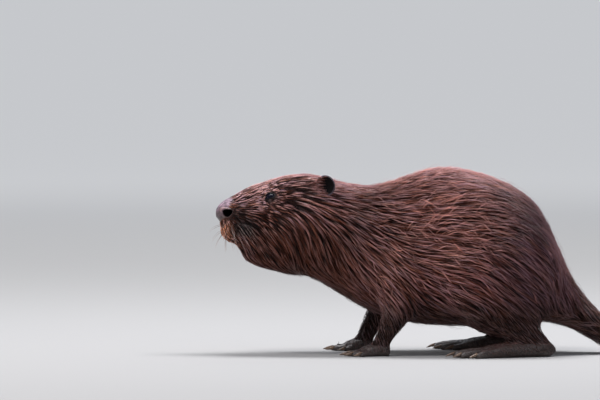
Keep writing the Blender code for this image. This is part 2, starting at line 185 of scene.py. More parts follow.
def swollen(nodes, by):
    """One mesh of the nodes, each with its corners joined again and moved outwards."""
    whole = bmesh.new()
    for node in nodes:
        part = bmesh.new()
        part.from_mesh(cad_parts[node].data)
        bmesh.ops.remove_doubles(part, verts=part.verts, dist=0.01 * MM)
        part.normal_update()
        for vert in part.verts:
            vert.co += vert.normal * by
        mesh = bpy.data.meshes.new("part")
        part.to_mesh(mesh)
        part.free()
        whole.from_mesh(mesh)
    return whole


def remeshed(name, nodes, voxel, by=SWELL):
    obj = from_bmesh(name, swollen(nodes, by))
    step = obj.modifiers.new("remesh", "REMESH")
    step.mode = "VOXEL"
    step.voxel_size = voxel
    return baked(obj)


def joined(obj, other):
    """Adds the other closed mesh to the object's."""
    step = obj.modifiers.new("joined", "BOOLEAN")
    step.operation = "UNION"
    step.solver = "MANIFOLD"
    step.object = other
    baked(obj)
    bpy.data.objects.remove(other)


def with_slots(obj, slots, index):
    """Gives the object the skin's list of materials and one of them to all its faces."""
    obj.data.materials.clear()
    for slot in slots:
        obj.data.materials.append(slot)
    obj.data.polygons.foreach_set("material_index", np.full(len(obj.data.polygons), index, np.int32))
    return obj


def join_rows(shape, rows):
    """Faces between each ring of vertices and the next."""
    for row, after in zip(rows, rows[1:]):
        for i in range(len(row)):
            j = (i + 1) % len(row)
            shape.faces.new((row[i], row[j], after[j], after[i]))


def loft(name, rings):
    """A closed mesh through rings of equally many points, capped at both ends."""
    shape = bmesh.new()
    rows = [[shape.verts.new(p) for p in ring] for ring in rings]
    join_rows(shape, rows)
    for cap in (rows[0], rows[-1]):
        middle = shape.verts.new(sum((v.co for v in cap), Vector()) / len(cap))
        for i in range(len(cap)):
            shape.faces.new((cap[i], cap[(i + 1) % len(cap)], middle))
    return from_bmesh(name, shape)


def tree_of(obj):
    return BVHTree.FromPolygons([v.co for v in obj.data.vertices], [p.vertices for p in obj.data.polygons])


def give(obj, name, values):
    """Sets a value or a colour for each vertex."""
    kind, field = "FLOAT", "value"
    values = np.asarray(values)
    if values.ndim == 2:
        kind, field = "FLOAT_COLOR", "color"
        values = np.concatenate([values, np.ones((len(values), 1))], axis=1)
    layer = obj.data.attributes.new(name, kind, "POINT")
    layer.data.foreach_set(field, values.astype(np.float32).ravel())


def finished(obj, material):
    obj.data.shade_smooth()
    obj.data.materials.append(material)
    return obj


# ---------------------------------------------------------------- materials


def linear(red, green, blue):
    """A screen colour, 0 to 255, as the renderer's linear one."""
    return tuple(((c / 255 + 0.055) / 1.055) ** 2.4 for c in (red, green, blue))


class Nodes:
    """A short way to write the nodes of a material or a world."""

    def __init__(self, owner):
        owner.use_nodes = True
        self.owner = owner
        self.tree = owner.node_tree

    def node(self, kind, inputs=(), **settings):
        made = self.tree.nodes.new("ShaderNode" + kind)
        for key, value in settings.items():
            setattr(made, key, value)
        for key, value in dict(inputs).items():
            self.give(made.inputs[key], value)
        return made

    def give(self, socket, value):
        if isinstance(value, bpy.types.NodeSocket):
            self.tree.links.new(value, socket)
        elif isinstance(value, bpy.types.Node):
            self.tree.links.new(value.outputs[0], socket)
        elif socket.type == "RGBA" and len(value) == 3:
            socket.default_value = (*value, 1)
        else:
            socket.default_value = value

    def surface(self, **inputs):
        for key, value in inputs.items():
            self.give(self.tree.nodes["Principled BSDF"].inputs[key.replace("_", " ")], value)
        return self.owner

    def mix(self, share, a, b, blend="MIX"):
        made = self.node("Mix", data_type="RGBA", blend_type=blend)
        for socket, value in zip((made.inputs[0], made.inputs[6], made.inputs[7]), (share, a, b)):
            self.give(socket, value)
        return made.outputs[2]

    def times(self, a, b):
        return self.mix(1.0, a, b, "MULTIPLY")

    def over(self, base, *layers):
        """The base colour under layers of a share and a screen colour each."""
        for share, colour in layers:
            base = self.mix(share, base, linear(*colour))
        return base

    def maths(self, operation, a, b):
        return self.node("Math", {0: a, 1: b}, operation=operation)

    def attribute(self, name, output="Fac"):
        return self.node("Attribute", attribute_name=name).outputs[output]

    def noise(self, scale, detail, roughness, vector=None):
        inputs = {"Scale": scale, "Detail": detail, "Roughness": roughness}
        inputs["Vector"] = vector or self.place()
        return self.node("TexNoise", inputs).outputs["Fac"]

    def cells(self, scale, feature):
        inputs = {"Scale": scale, "Vector": self.place()}
        return self.node("TexVoronoi", inputs, feature=feature).outputs["Distance"]

    def place(self):
        return self.node("TexCoord").outputs["Object"]

    def height(self, output="Object"):
        return self.node("SeparateXYZ", {0: self.node("TexCoord").outputs[output]}).outputs[2]

    def curve(self, value, low=0.0, high=1.0, a=0.0, b=1.0, shape="SMOOTHSTEP"):
        inputs = {"Value": value, "From Min": low, "From Max": high, "To Min": a, "To Max": b}
        return self.node("MapRange", inputs, interpolation_type=shape).outputs[0]

    def bump(self, height, strength, distance, under=None):
        inputs = {"Height": height, "Strength": strength, "Distance": distance}
        if under is not None:
            inputs["Normal"] = under
        return self.node("Bump", inputs)


def principled(name, **inputs):
    made = Nodes(bpy.data.materials.new(name))
    made.surface(**inputs)
    return made


def fur_skin_material():
    """The woolly underfur that shows in the gaps between the locks; its colour, darker than the coat's, is
    partly painted shade in those gaps.
    """
    m = principled("underfur", Roughness=0.9, Specular_IOR_Level=0.15)
    wool = m.noise(900, 4, 0.7)
    shade = m.mix(m.curve(wool, 0.3, 0.7), (0.2, 0.2, 0.2), (1.0, 1.0, 1.0))
    tint = m.attribute("coat_colour", "Color")
    return m.surface(Base_Color=m.mix(0.85, tint, m.times(tint, shade)), Normal=m.bump(wool, 0.6, 0.0006))


def coat_material():
    """Wet guard hair: dark at the root, lighter and redder to the tip, each lock with a tone of its own.
    The dark at the root is partly painted shade near the skin, and the tone is mostly painted light and shade
    by how high the lock lies, with redder darks and a painted lilac sheen on the light locks.
    """
    m = principled("wet_fur", Coat_Roughness=0.18)
    tint = m.attribute("coat_colour", "Color")
    along = m.attribute("along")
    tone = m.attribute("tone")
    # each lock's brightness by its tone: mostly painted light and shade, lighter for the locks that lie
    # higher
    level = m.maths("ADD", m.curve(tone, 0.0, 0.6, 0.07, 0.85), m.curve(tone, 0.5, 1.0, 0.0, 0.6))
    # darker towards the root: the hair's own dark base and painted shade near the skin
    shade = m.maths("MULTIPLY", m.curve(along, 0.08, 0.85, 0.06, 1.3), level)
    grey = m.node("CombineColor", {0: shade, 1: shade, 2: shade})
    # the darker locks painted redder and the lighter ones paler, as shaded and lit copies of the same hair
    hue = m.mix(m.curve(tone, 0.1, 0.85), (1.12, 0.82, 0.6), (1.03, 0.95, 0.9))
    colour = m.times(m.times(tint, hue), grey)
    # a pale lilac colour painted on the light locks towards their tips as a sheen
    painted_sheen = m.times(m.node("RGBToBW", {0: tint}), (3.9, 2.65, 2.8))
    painted_sheen = m.mix(0.4, painted_sheen, m.times(tint, (2.0, 2.0, 2.0)))
    painted_sheen_share = m.maths("MULTIPLY", m.curve(tone, 0.5, 1.0, 0.0, 0.6), m.curve(along, 0.2, 0.7))
    # fine streaks that give the hair its relief and a painted glint of the sheen colour
    streak = m.noise(1400, 2, 0.5)
    return m.surface(
        Base_Color=m.mix(m.curve(streak, 0.5, 0.8, 0.0, 0.22), m.mix(painted_sheen_share, colour, painted_sheen), painted_sheen),
        Roughness=m.curve(tone, 0.0, 1.0, 0.55, 0.3),
        Specular_IOR_Level=m.curve(tone, 0.1, 0.9, 0.12, 0.42),
        Coat_Weight=m.curve(tone, 0.3, 0.9, 0.0, 0.16),
        Normal=m.bump(streak, 0.25, 0.0003),
    )


def nose_material():
    """The bare pad: mauve and damp with soft bumps and fine furrows, brown below, fading into the fur.
    The brown below is partly painted shade; painted shade also lies in the furrows and in the nostril, and
    painted highlight on the top and on the nostril's upper rim.
    """
    m = principled("nose_skin", Coat_Roughness=0.2)
    furrows = m.cells(1500, "DISTANCE_TO_EDGE")
    broad = m.noise(170, 4, 0.65)
    height = m.height()
    base = m.over(
        linear(50, 32, 38),
        (m.curve(broad, 0.38, 0.62), (138, 106, 121)),
        # darker in the furrows: painted shade
        (m.curve(furrows, 0.0, 0.15, 0.35, 0.0), (60, 42, 48)),
        # browner and darker low on the pad: partly its own brown, partly painted shade
        (m.curve(height, 0.188, 0.206, 0.96, 0.0), (44, 24, 22)),
        # paler at the top of the pad: a painted highlight
        (m.curve(height, 0.2, 0.214, 0.0, 0.18), (168, 142, 156)),
        # the nostril's rim, paler only above: a painted highlight over its own pinkish brown
        (m.curve(m.attribute("rim"), 0.0, 1.0, 0.0, 0.55), (150, 112, 108)),
    )
    base = m.mix(m.curve(m.attribute("pad")), m.attribute("coat_colour", "Color"), base)
    # inside the nostril, painted near black and dull as shade in the hole
    outside = m.curve(m.attribute("nostril_shade"), 0.0, 1.0, 1.0, 0.0)
    return m.surface(
        Base_Color=m.mix(outside, linear(6, 2, 2), base),
        Specular_IOR_Level=m.maths("MULTIPLY", outside, 0.5),
        Coat_Weight=m.maths("MULTIPLY", outside, 0.35),
        Roughness=m.curve(m.noise(2400, 3, 0.6), 0.3, 0.7, 0.28, 0.5),
        Normal=m.bump(broad, 0.7, 0.002, m.bump(m.curve(furrows, 0.0, 0.2), 0.35, 0.00025)),
    )


def grained(name, noise, dark, pale, low, relief, **inputs):
    """Skin of two screen colours by a fine grain, which also gives it its relief."""
    m = principled(name, **inputs)
    grain = m.noise(*noise)
    colour = m.over(linear(*dark), (m.curve(grain, low, 0.7), pale))
    return m.surface(Base_Color=colour, Normal=m.bump(grain, *relief))


def bare_material():
    """Dark pebbled skin of the feet and between the tail's scales."""
    m = principled("bare_skin", Coat_Weight=0.1, Coat_Roughness=0.3)
    pebbles = m.cells(520, "F1")
    folds = m.noise(260, 3, 0.6)
    base = m.over(
        linear(92, 82, 78),
        (m.curve(pebbles, 0.1, 0.6), (48, 41, 40)),
        (m.curve(folds, 0.35, 0.7, 0.0, 0.6), (66, 52, 46)),
    )
    return m.surface(Base_Color=base, Normal=m.bump(folds, 0.5, 0.0008, m.bump(pebbles, 0.6, 0.0005)))


def eye_material():
    """A nearly black, wet eye with a faint blue mottle, which is a painted reflection of a bluish sky."""
    m = principled("eye_wet", Roughness=0.08, IOR=1.33, Specular_IOR_Level=0.13)
    # a faint blue mottle: a painted reflection of a bluish sky
    blue_reflection = m.curve(m.noise(220, 3, 0.5), 0.35, 0.65)
    return m.surface(
        Base_Color=m.over(linear(3, 3, 7), (blue_reflection, (12, 10, 22))),
        Normal=m.bump(m.noise(700, 2, 0.5), 0.04, 0.0002),
    )


def whisker_material():
    m = principled("whisker", Roughness=0.35)
    return m.surface(Base_Color=m.over(linear(72, 52, 48), (m.attribute("along"), (180, 154, 144))))


def claw_material():
    """Horn with long grain, paler along it and worn dark in places."""
    m = principled("claw_horn", Roughness=0.32, Coat_Weight=0.2, Coat_Roughness=0.25)
    stretch = m.node("Mapping", {"Vector": m.place(), "Scale": (90, 900, 900)}).outputs[0]
    grain = m.noise(1.0, 3, 0.6, stretch)
    base = m.over(
        linear(70, 52, 42),
        (m.curve(grain, 0.3, 0.7), (128, 104, 84)),
        (m.curve(m.noise(300, 3, 0.6), 0.45, 0.75, 0.0, 0.5), (52, 40, 34)),
    )
    return m.surface(Base_Color=base, Normal=m.bump(grain, 0.4, 0.0002))


def scale_material():
    """The tail's leathery scales: slate brown, rubbed paler in places."""
    m = principled("tail_scales", Roughness=0.46, Coat_Weight=0.12, Coat_Roughness=0.3)
    grain = m.noise(1200, 4, 0.7)
    base = m.over(
        linear(36, 32, 32),
        (m.curve(m.attribute("tone")), (68, 60, 57)),
        (m.curve(m.noise(110, 4, 0.6), 0.42, 0.7, 0.0, 0.6), (84, 71, 64)),
        (m.curve(grain, 0.35, 0.75, 0.0, 0.35), (27, 23, 23)),
    )
    return m.surface(Base_Color=base, Normal=m.bump(grain, 0.5, 0.0003))


# ---------------------------------------------------------------- skin

FUR, NOSE, EAR_BACK, BARE, LID, HOLLOW = range(6)  # the skin's material slots

# Forms of the face and the ears: mm, and turn, lean and tilt in degrees
EYE_SLIT = {"half_length": 6.7, "up": 4.35, "down": 3.9, "power": 1.95, "slope": 0.24}
LID_THICK = 0.9
NOSTRIL = {"x": 17.6, "z": 197.7, "radii": (7.2, 5.2), "tilt": 12, "depth": 9.0, "inner": 8, "back": 30}
PAD_BACK = 36  # the bare pad ends in front of this
EAR = {
    "turn": 24, "lean": {"left": 11, "right": 26}, "up": {"left": 0.6, "right": -0.8},
    "half_width": 13.4, "half_height": 14.2, "cup": 7.0, "wall": 1.0, "sink": 4,
}
EAR_STEPS, EAR_SIDES = 16, 56  # rings from the middle of the cup to its rim, and corners in each
FOOT_TOP, PADDLE_FRONT, NOSE_BACK = 14, 585, 20  # where the bare feet, paddle and nose end
FACE_FINE, NOSE_FINE, EYE_FINE, NOSTRIL_FINE = 103, 33, (15, 11), 9  # how far the skin's faces are split
ROUND_HEEL, ROUND_PADDLE = 15, 26  # length of the rounded ends inside the body
LEGS_OUT = 40  # the legs stand further out than this
ROUND_EYE = [(dx, dz) for dx in (-0.014, 0.014) for dz in (-0.012, 0.012)]  # where its skin's slope is read
UNWRAP_ANGLE, ISLAND_GAP = math.radians(66), 0.003
UNDERFUR_AND_GAP_SHADE = 0.22  # the underfur's colour, as a share of the coat's: its own darker colour, darkened further as painted shade in the gaps between the locks


def eyeball(side):
    low, high = (np.array(corner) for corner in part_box(f"eye_{side}"))
    return (low + high) / 2, (high - low).max() / 2


eyeballs = {side: eyeball(side) for side in SIDES}


def from_eyes(mm):
    """For each eye, its centre from the tip of the nose and the points' distances from it."""
    for centre, _ in eyeballs.values():
        eye = from_tip(centre)
        yield eye, np.linalg.norm(mm - eye, axis=1)


def coat_depth(mm):
    """How far the coat stands over the skin, for points given from the tip of the nose."""
    x, y, z = np.abs(mm[:, 0]), np.abs(mm[:, 1]), mm[:, 2]
    depth = along_table(COAT_DEPTH, x)
    on_leg = ramp(y, 42, 56) * ramp(x, 170, 190) * fall(x, 480, 500)
    depth = depth * (1 - on_leg * fall(z, 14, 85)) + 0.9 * on_leg * fall(z, 14, 60)
    for _, away in from_eyes(mm):
        depth = 0.7 + (depth - 0.7) * ramp(away, 9, 26)
    return depth


def refined(obj, wanted):
    """Splits the faces whose middles are wanted into four."""

    def split(shape):
        shape.faces.ensure_lookup_table()
        chosen = wanted(from_tip([f.calc_center_median() for f in shape.faces]))
        edges = {e for i in np.flatnonzero(chosen) for e in shape.faces[i].edges}
        bmesh.ops.subdivide_edges(shape, edges=list(edges), cuts=1, use_grid_fill=True)

    edited(obj, split)


def near_eyes(mm, reach):
    return np.min([away for _, away in from_eyes(mm)], axis=0) < reach


def near_nostrils(mm, reach):
    away = np.hypot(mm[:, 0] - NOSTRIL["x"], mm[:, 2] - NOSTRIL["z"])
    return (away < reach) & (np.abs(mm[:, 1]) > NOSTRIL["inner"])


def body_skin():
    """The furred body with plugs for feet, tail and nose, smooth, and drawn in by the depth of its coat."""
    obj = remeshed("skin", FURRED + FEET + ["nose", "tail_paddle", "eye_left", "eye_right"], BODY_VOXEL)
    mm = from_tip(places(obj))
    bare = (mm[:, 2] < FOOT_TOP) | (mm[:, 0] > PADDLE_FRONT) | (mm[:, 0] < NOSE_BACK)
    smooth(obj, 12, np.where(bare, 0.15, np.where(mm[:, 0] < 60, 0.5, 1.0)))
    points = places(obj)
    points[:, 2] *= along_table(TAIL_TAPER, mm[:, 0])
    put(obj, points)
    refined(obj, lambda mm: mm[:, 0] < FACE_FINE)
    refined(obj, lambda mm: (mm[:, 0] < NOSE_FINE) | near_eyes(mm, EYE_FINE[0]))
    smooth(obj, 4)
    refined(obj, lambda mm: near_eyes(mm, EYE_FINE[1]) | near_nostrils(mm, NOSTRIL_FINE))
    smooth(obj, 2)
    on_pad = pad_share(places(obj))
    mm = from_tip(places(obj))
    depth = coat_depth(mm) * (1 - on_pad) + SWELL / MM
    put(obj, places(obj) - normals(obj) * depth[:, None] * MM)
    smooth(obj, 3, np.where(from_tip(places(obj))[:, 0] < 105, 0.4, 1.0))
    return obj


def welded_tree(node):
    shape = swollen([node], 0)
    tree = BVHTree.FromBMesh(shape)
    shape.free()
    return tree


def pad_depth(points):
    """How far each point is inside the bare nose pad's own outline, in mm: below 0 on the fur round it."""
    pad, head = welded_tree("nose"), welded_tree("head")
    depth = np.full(len(points), -20.0)
    for i in np.flatnonzero(from_tip(points)[:, 0] < PAD_BACK):
        p = Vector(points[i])
        depth[i] = (head.find_nearest(p)[3] - pad.find_nearest(p)[3]) / MM
    return depth


def pad_share(points):
    """1 on the bare nose pad and 0 on the fur round it, with a soft edge."""
    return ramp(pad_depth(points), -1.2, 1.0)


def eye_axes(side, tree):
    """(centre, along the slit from front to back, up, out) of one eye."""
    centre, _ = eyeballs[side]
    start = Vector(centre) + Vector((0, SIDES[side] * 0.1, 0))
    inward = Vector((0, -SIDES[side], 0))
    outs = [tree.ray_cast(start + Vector((dx, 0, dz)), inward)[1] for dx, dz in ROUND_EYE]
    out = (sum(outs, Vector()) / len(outs)).normalized()
    along = Vector((1, 0, EYE_SLIT["slope"]))
    along = (along - along.dot(out) * out).normalized()
    up = out.cross(along)
    if up.z < 0:
        up.negate()
    return np.array([centre, along, up, out])


def slit_share(u, v):
    """Below 1 inside the almond opening of the lids."""
    rise = np.where(v > 0, EYE_SLIT["up"], EYE_SLIT["down"])
    power = EYE_SLIT["power"]
    return (np.abs(u / EYE_SLIT["half_length"]) ** power + np.abs(v / rise) ** power) ** (1 / power)


def from_eye(points, axes):
    """Millimetres along the slit, up and out from an eye's centre."""
    centre, along, up, out = axes
    local = (points - centre) / MM
    return local @ along, local @ up, local @ out


def sculpt_lids(obj, frames):
    """Lids that lie on the eyeball round an almond opening; inside it the skin passes behind the ball."""
    points = places(obj)
    for side, axes in frames.items():
        centre, along, up, out = axes
        radius = eyeballs[side][1] / MM
        u, v, w = from_eye(points, axes)
        ring = np.hypot(u, v)
        chosen = (ring < 15) & (w > -4)
        edge = slit_share(u, v)
        pull = np.where(np.abs(edge - 1) < 0.13, 1 / np.maximum(edge, 0.5), 1.0)
        u, v = u * pull, v * pull
        edge = slit_share(u, v)
        ring = np.hypot(u, v)
        ball = np.sqrt(np.maximum((radius + 0.1) ** 2 - ring**2, 0))
        thick = LID_THICK * (0.75 + 0.35 * np.clip(v / 4, -1, 1))
        dome = ball + thick * (1 + 0.25 * hill((edge - 1.28, 0.16)))
        share = fall(ring, radius + 0.2, radius + 6.5)
        crease = 0.55 * hill((edge - 1.62, 0.1)) * (v > 0) + 0.35 * hill((edge - 1.5, 0.1)) * (v < 0)
        fade = ramp(ring, radius - 1.8, radius)
        lifted = dome * (1 - fade) + np.maximum(w, dome) * fade
        level = np.where(ring < radius, lifted, w + (np.maximum(w, 0) - w) * share) - crease
        level = np.where(edge < 0.97, np.minimum(ball - 1.6, level), level)
        moved = centre + (np.outer(u, along) + np.outer(v, up) + np.outer(level, out)) * MM
        points[chosen] = moved[chosen]
    put(obj, points)


def sculpt_face(obj):
    """Nostrils, the groove of the lip, the mouth's crease and the soft folds of the muzzle."""
    points = places(obj)
    mm = from_tip(points)
    x, y, z = mm.T
    way = normals(obj)
    side = np.abs(y)
    move = np.zeros(len(mm))
    move -= 1.2 * hill((y, 1.2)) * fall(x, 10, 20) * ramp(z, 150, 158) * fall(z, 197, 204)
    mouth = 158 + 0.14 * x
    move -= 1.5 * hill((z - mouth, 1.5)) * fall(x, 46, 60) * ramp(side, 0, 3)
    move -= 1.8 * hill((x - 33, 9), (z - 189 - 0.25 * (x - 33), 6)) * ramp(side, 8, 15)
    move += 1.0 * hill((x - 22, 9), (z - 172, 8)) * ramp(side, 6, 12)
    fold = z - 205 + 0.25 * (x - 60)
    move -= 0.8 * hill((fold, 1.6)) * ramp(x, 54, 62) * fall(x, 84, 100) * ramp(side, 14, 22)
    ripple = np.zeros(len(mm))
    for i in np.flatnonzero(x < 110):
        ripple[i] = noise.noise(Vector(mm[i] / 6)) * 0.35
    points += way * ((move + ripple)[:, None] * MM)
    put(obj, points)
    hole = nostril_share(from_tip(points))
    beside = side > NOSTRIL["inner"]
    inward = np.stack([np.full(len(y), 0.5), -np.sign(y) * 0.85, np.full(len(y), 0.1)], axis=1)
    above = 0.35 + 0.65 * ramp(z - NOSTRIL["z"], -2, 2)
    rim = hill((hole - 1.22, 0.22)) * beside * above
    points += inward * (NOSTRIL["depth"] * fall(hole, 0.6, 1.0) * beside)[:, None] * MM
    points += way * (0.8 * rim[:, None]) * MM
    put(obj, points)


def nostril_share(mm):
    """Below 1 inside the comma of the nostril, whose tail points back and up."""
    x, y, z = mm.T
    tilt = math.radians(NOSTRIL["tilt"])
    u = (x - NOSTRIL["x"]) * math.cos(tilt) + (z - NOSTRIL["z"]) * math.sin(tilt)
    v = (z - NOSTRIL["z"]) * math.cos(tilt) - (x - NOSTRIL["x"]) * math.sin(tilt)
    v = v - 0.035 * u**2 + 0.5
    share = np.hypot(u / NOSTRIL["radii"][0], v / (NOSTRIL["radii"][1] * (1 - 0.05 * u)))
    return np.where((np.abs(y) > NOSTRIL["inner"]) & (x < NOSTRIL["back"]), share, 9)


def ear_place(side):
    low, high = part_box(f"ear_{side}")
    centre = (low + high) / 2 + Vector((0.6, 0, EAR["up"][side])) * MM
    lean = Matrix.Rotation(math.radians(EAR["lean"][side]), 4, "X")
    turn = Matrix.Rotation(math.radians(-EAR["turn"]), 4, "Z") @ lean
    return Matrix.Translation(centre) @ Matrix.Diagonal((1, -SIDES[side], 1, 1)) @ turn


def ear_outline(x, z):
    """How the rim narrows towards the ear's foot and back."""
    return 1 - 0.1 * max(0, -z) - 0.05 * max(0, x)


def ear_cup(side):
    """A round thin cup with a rolled rim and folds inside, its mouth outwards."""
    place = ear_place(side)
    reaches = [((i + 0.6) / (EAR_STEPS + 0.6)) ** 0.8 for i in range(EAR_STEPS + 1)]
    profile = [(r, 0) for r in reaches] + [(r, 1) for r in reversed(reaches)]
    rings = []
    for r, outer in profile:
        ring = []
        for k in range(EAR_SIDES):
            angle = 2 * math.pi * k / EAR_SIDES
            x, z = math.cos(angle), math.sin(angle)
            wall = (EAR["wall"] + 2.2 * (1 - r)) * outer
            roll = 1.1 * float(ramp(r, 0.78, 1.0)) * (1 - 0.4 * outer)
            fold = 1.5 * math.exp(-(((r - 0.55) / 0.15) ** 2)) * max(0, math.cos(angle - 2.6)) * (1 - outer)
            wave = 0.35 * math.sin(5 * angle + 1) * r**3
            depth = EAR["cup"] * (1 - r**2.2) + wall - roll - fold + wave - EAR["sink"]
            reach = r * (1 + 0.045 * outer - 0.03 * (1 - outer) * float(ramp(r, 0.9, 1.0)))
            width = EAR["half_width"] * reach * x * ear_outline(x, z)
            ring.append(place @ (Vector((width, depth, EAR["half_height"] * reach * z)) * MM))
        rings.append(ring)
    return loft(f"ear_{side}_cup", rings)


def ear_faces(obj, side):
    """The dark slot for the inside of the cup, whose dark is partly painted shade, and the paler one for its
    rim and back.
    """
    local = ear_place(side).inverted()
    for face in obj.data.polygons:
        x, y, z = (local @ face.center) / MM
        x, z = x / EAR["half_width"], z / EAR["half_height"]
        r = math.hypot(x, z)
        r = math.hypot(x / ear_outline(x / r, z / r), z)
        inside = y < EAR["cup"] * (1 - r**2.2) + 0.5 * EAR["wall"] - EAR["sink"] and r < 0.9
        face.material_index = HOLLOW if inside else EAR_BACK


def rounded_end(obj, sign, reach):
    """Rounds the piece's end towards the tail (1) or towards the nose (-1), over reach millimetres."""
    points = places(obj)
    end = (points[:, 0] * sign).max()
    t = np.clip(1 - (end - points[:, 0] * sign) / (reach * MM), 0, 1)
    closed = np.sqrt(np.maximum(1 - 0.92 * t**2, 0))
    at_end = t > 0
    for axis in (1, 2):
        middle = (points[at_end, axis].max() + points[at_end, axis].min()) / 2
        points[:, axis] = middle + (points[:, axis] - middle) * closed
    put(obj, points)


def made_skin(slots):
    """One closed skin: body, feet, tail, nose, ears and lids."""
    skin = with_slots(body_skin(), slots, FUR)
    tree = tree_of(skin)
    frames = {side: eye_axes(side, tree) for side in SIDES}
    sculpt_face(skin)
    sculpt_lids(skin, frames)
    for foot in FEET:
        piece = with_slots(remeshed(foot + "_skin", [foot], FOOT_VOXEL, FOOT_SWELL), slots, BARE)
        smooth(piece, 3)
        if foot.startswith("hind"):
            rounded_end(piece, 1, ROUND_HEEL)
        joined(skin, piece)
    paddle = with_slots(remeshed("paddle_skin", ["tail_paddle"], PADDLE_VOXEL, 0.0), slots, BARE)
    smooth(paddle, 3)
    rounded_end(paddle, -1, ROUND_PADDLE)
    joined(skin, paddle)
    for side in SIDES:
        cup = with_slots(ear_cup(side), slots, EAR_BACK)
        ear_faces(cup, side)
        joined(skin, cup)
    edited(skin, lambda shape: bmesh.ops.triangulate(shape, faces=shape.faces))
    face_slots(skin, frames)
    skin.data.shade_smooth()
    points = places(skin)
    points[:, 2] = np.maximum(points[:, 2], 0)
    put(skin, points)
    mm = from_tip(points)
    hole = nostril_share(mm)
    give(skin, "pad", ramp(pad_depth(points), -1.0, 5.0))
    # inside the nostril, where the pad is painted near black as shade
    give(skin, "nostril_shade", fall(hole, 0.84, 1.16))
    # the nostril's rim, only above it, where its painted highlight goes
    give(skin, "rim", hill((hole - 1.35, 0.2)) * ramp(mm[:, 2] - NOSTRIL["z"], -1, 4))
    # the underfur's colour: the coat's, darkened partly as painted shade in the gaps between the locks
    give(skin, "coat_colour", coat_colour(mm) * UNDERFUR_AND_GAP_SHADE)
    return skin, frames


def unwrap(obj):
    """An unwrap of the skin's own shape, which the coat's patches share."""
    obj.data.uv_layers.new(name="OFBake")
    bpy.context.view_layer.objects.active = obj
    obj.select_set(True)
    bpy.ops.object.mode_set(mode="EDIT")
    bpy.ops.mesh.select_all(action="SELECT")
    bpy.ops.uv.smart_project(angle_limit=UNWRAP_ANGLE, island_margin=ISLAND_GAP)
    bpy.ops.object.mode_set(mode="OBJECT")


def face_slots(skin, frames):
    """Gives the pad, the nostrils and the lids their own materials."""
    index = read(skin.data.polygons, "material_index", kind=np.int32)
    centres = read(skin.data.polygons, "center", 3).astype(float)
    furry = index == FUR
    index[furry & ((pad_share(centres) > 0.02) | (nostril_share(from_tip(centres)) < 1.1))] = NOSE
    for axes in frames.values():
        u, v, w = from_eye(centres, axes)
        index[furry & (slit_share(u, v) < 1.3) & (w > 0) & (np.hypot(u, v) < 9.5)] = LID
    skin.data.polygons.foreach_set("material_index", index)


# ---------------------------------------------------------------- coat

# Where the hair lies: (back from the nose, up) and how steeply it runs down towards the tail, in degrees
LIE = (
    (6, 172, 78), (14, 160, 80), (24, 172, 66), (40, 176, 48), (46, 160, 66), (30, 196, 18),
    (40, 212, -26), (60, 228, -24), (62, 200, 6), (90, 240, -12), (96, 206, 10), (80, 185, 30),
    (66, 165, 60), (100, 175, 56), (90, 150, 80), (105, 135, 86), (130, 150, 80), (150, 130, 84),
    (140, 175, 60), (150, 205, 14), (140, 235, 0), (190, 225, 0), (190, 195, 12), (185, 165, 50),
    (190, 140, 68), (230, 190, 9), (240, 150, 24), (230, 120, 44), (215, 90, 70), (210, 50, 82),
    (250, 60, 74), (280, 230, -18), (300, 205, -10), (300, 180, -2), (320, 130, 12), (300, 90, 28),
    (360, 235, -6), (340, 200, -4), (380, 180, 8), (390, 120, 26), (420, 232, 14), (450, 200, 40),
    (440, 150, 34), (470, 150, 56), (430, 90, 34), (410, 45, 62), (460, 60, 40), (490, 110, 48),
    (530, 70, 34), (570, 40, 22),
)
WANDER = 12  # how far a lock strays from the lie, in degrees
LOOSE, LOOSE_FLANK = 0.07, 0.2  # share of the body's and of the flank's locks that lie across the others
CROSSING = 60  # how far these turn from the lie, in degrees
LOW, HIGH, LOOSE_HEIGHT = (0, 0.6), (0.72, 1.0), 1.08  # how high the lower, upper and loose locks lie
LOOSE_TINT = (1.35, 1.2, 0.95)  # their colour, as shares of the coat's
HUE_SWAY = (0.06, -0.035, -0.24)  # how a lock's hue strays
NEAR_LOCKS, CELL = 9, 0.33  # locks tried for a strand, and how narrow their cells are
WISPS, WISP_STRANDS, WISP_DEPTH = 84, 4, 0.8  # locks over the ear's opening, strands in each, depth in mm

# Back from the nose, then a strand's length and width in mm, roots on each square mm, strands in a lock,
# and how much the locks differ in tone, mostly painted light and shade by how high each lock lies
STRANDS = (
    (0, 7, 0.4, 1.14, 9, 1.5), (22, 6, 0.34, 1.46, 9, 1.3), (34, 12, 0.38, 1.27, 10, 1.8),
    (46, 21, 0.4, 1.09, 12, 1.9), (70, 29, 0.44, 0.82, 12, 1.8), (110, 37, 0.52, 0.492, 9, 1.5),
    (170, 40, 0.54, 0.301, 4, 1.4), (240, 42, 0.5, 0.229, 2, 1.3), (470, 42, 0.46, 0.229, 2, 1.1),
    (530, 26, 0.66, 0.229, 3.5, 0.7), (575, 20, 0.6, 0.35, 5, 0.8),
)
LENGTH, WIDTH, DENSITY, GATHERED, CONTRAST = range(1, 6)
LEVELS = np.array([0.0, 0.26, 0.62, 1.0])  # along a lock, from its root to its tip
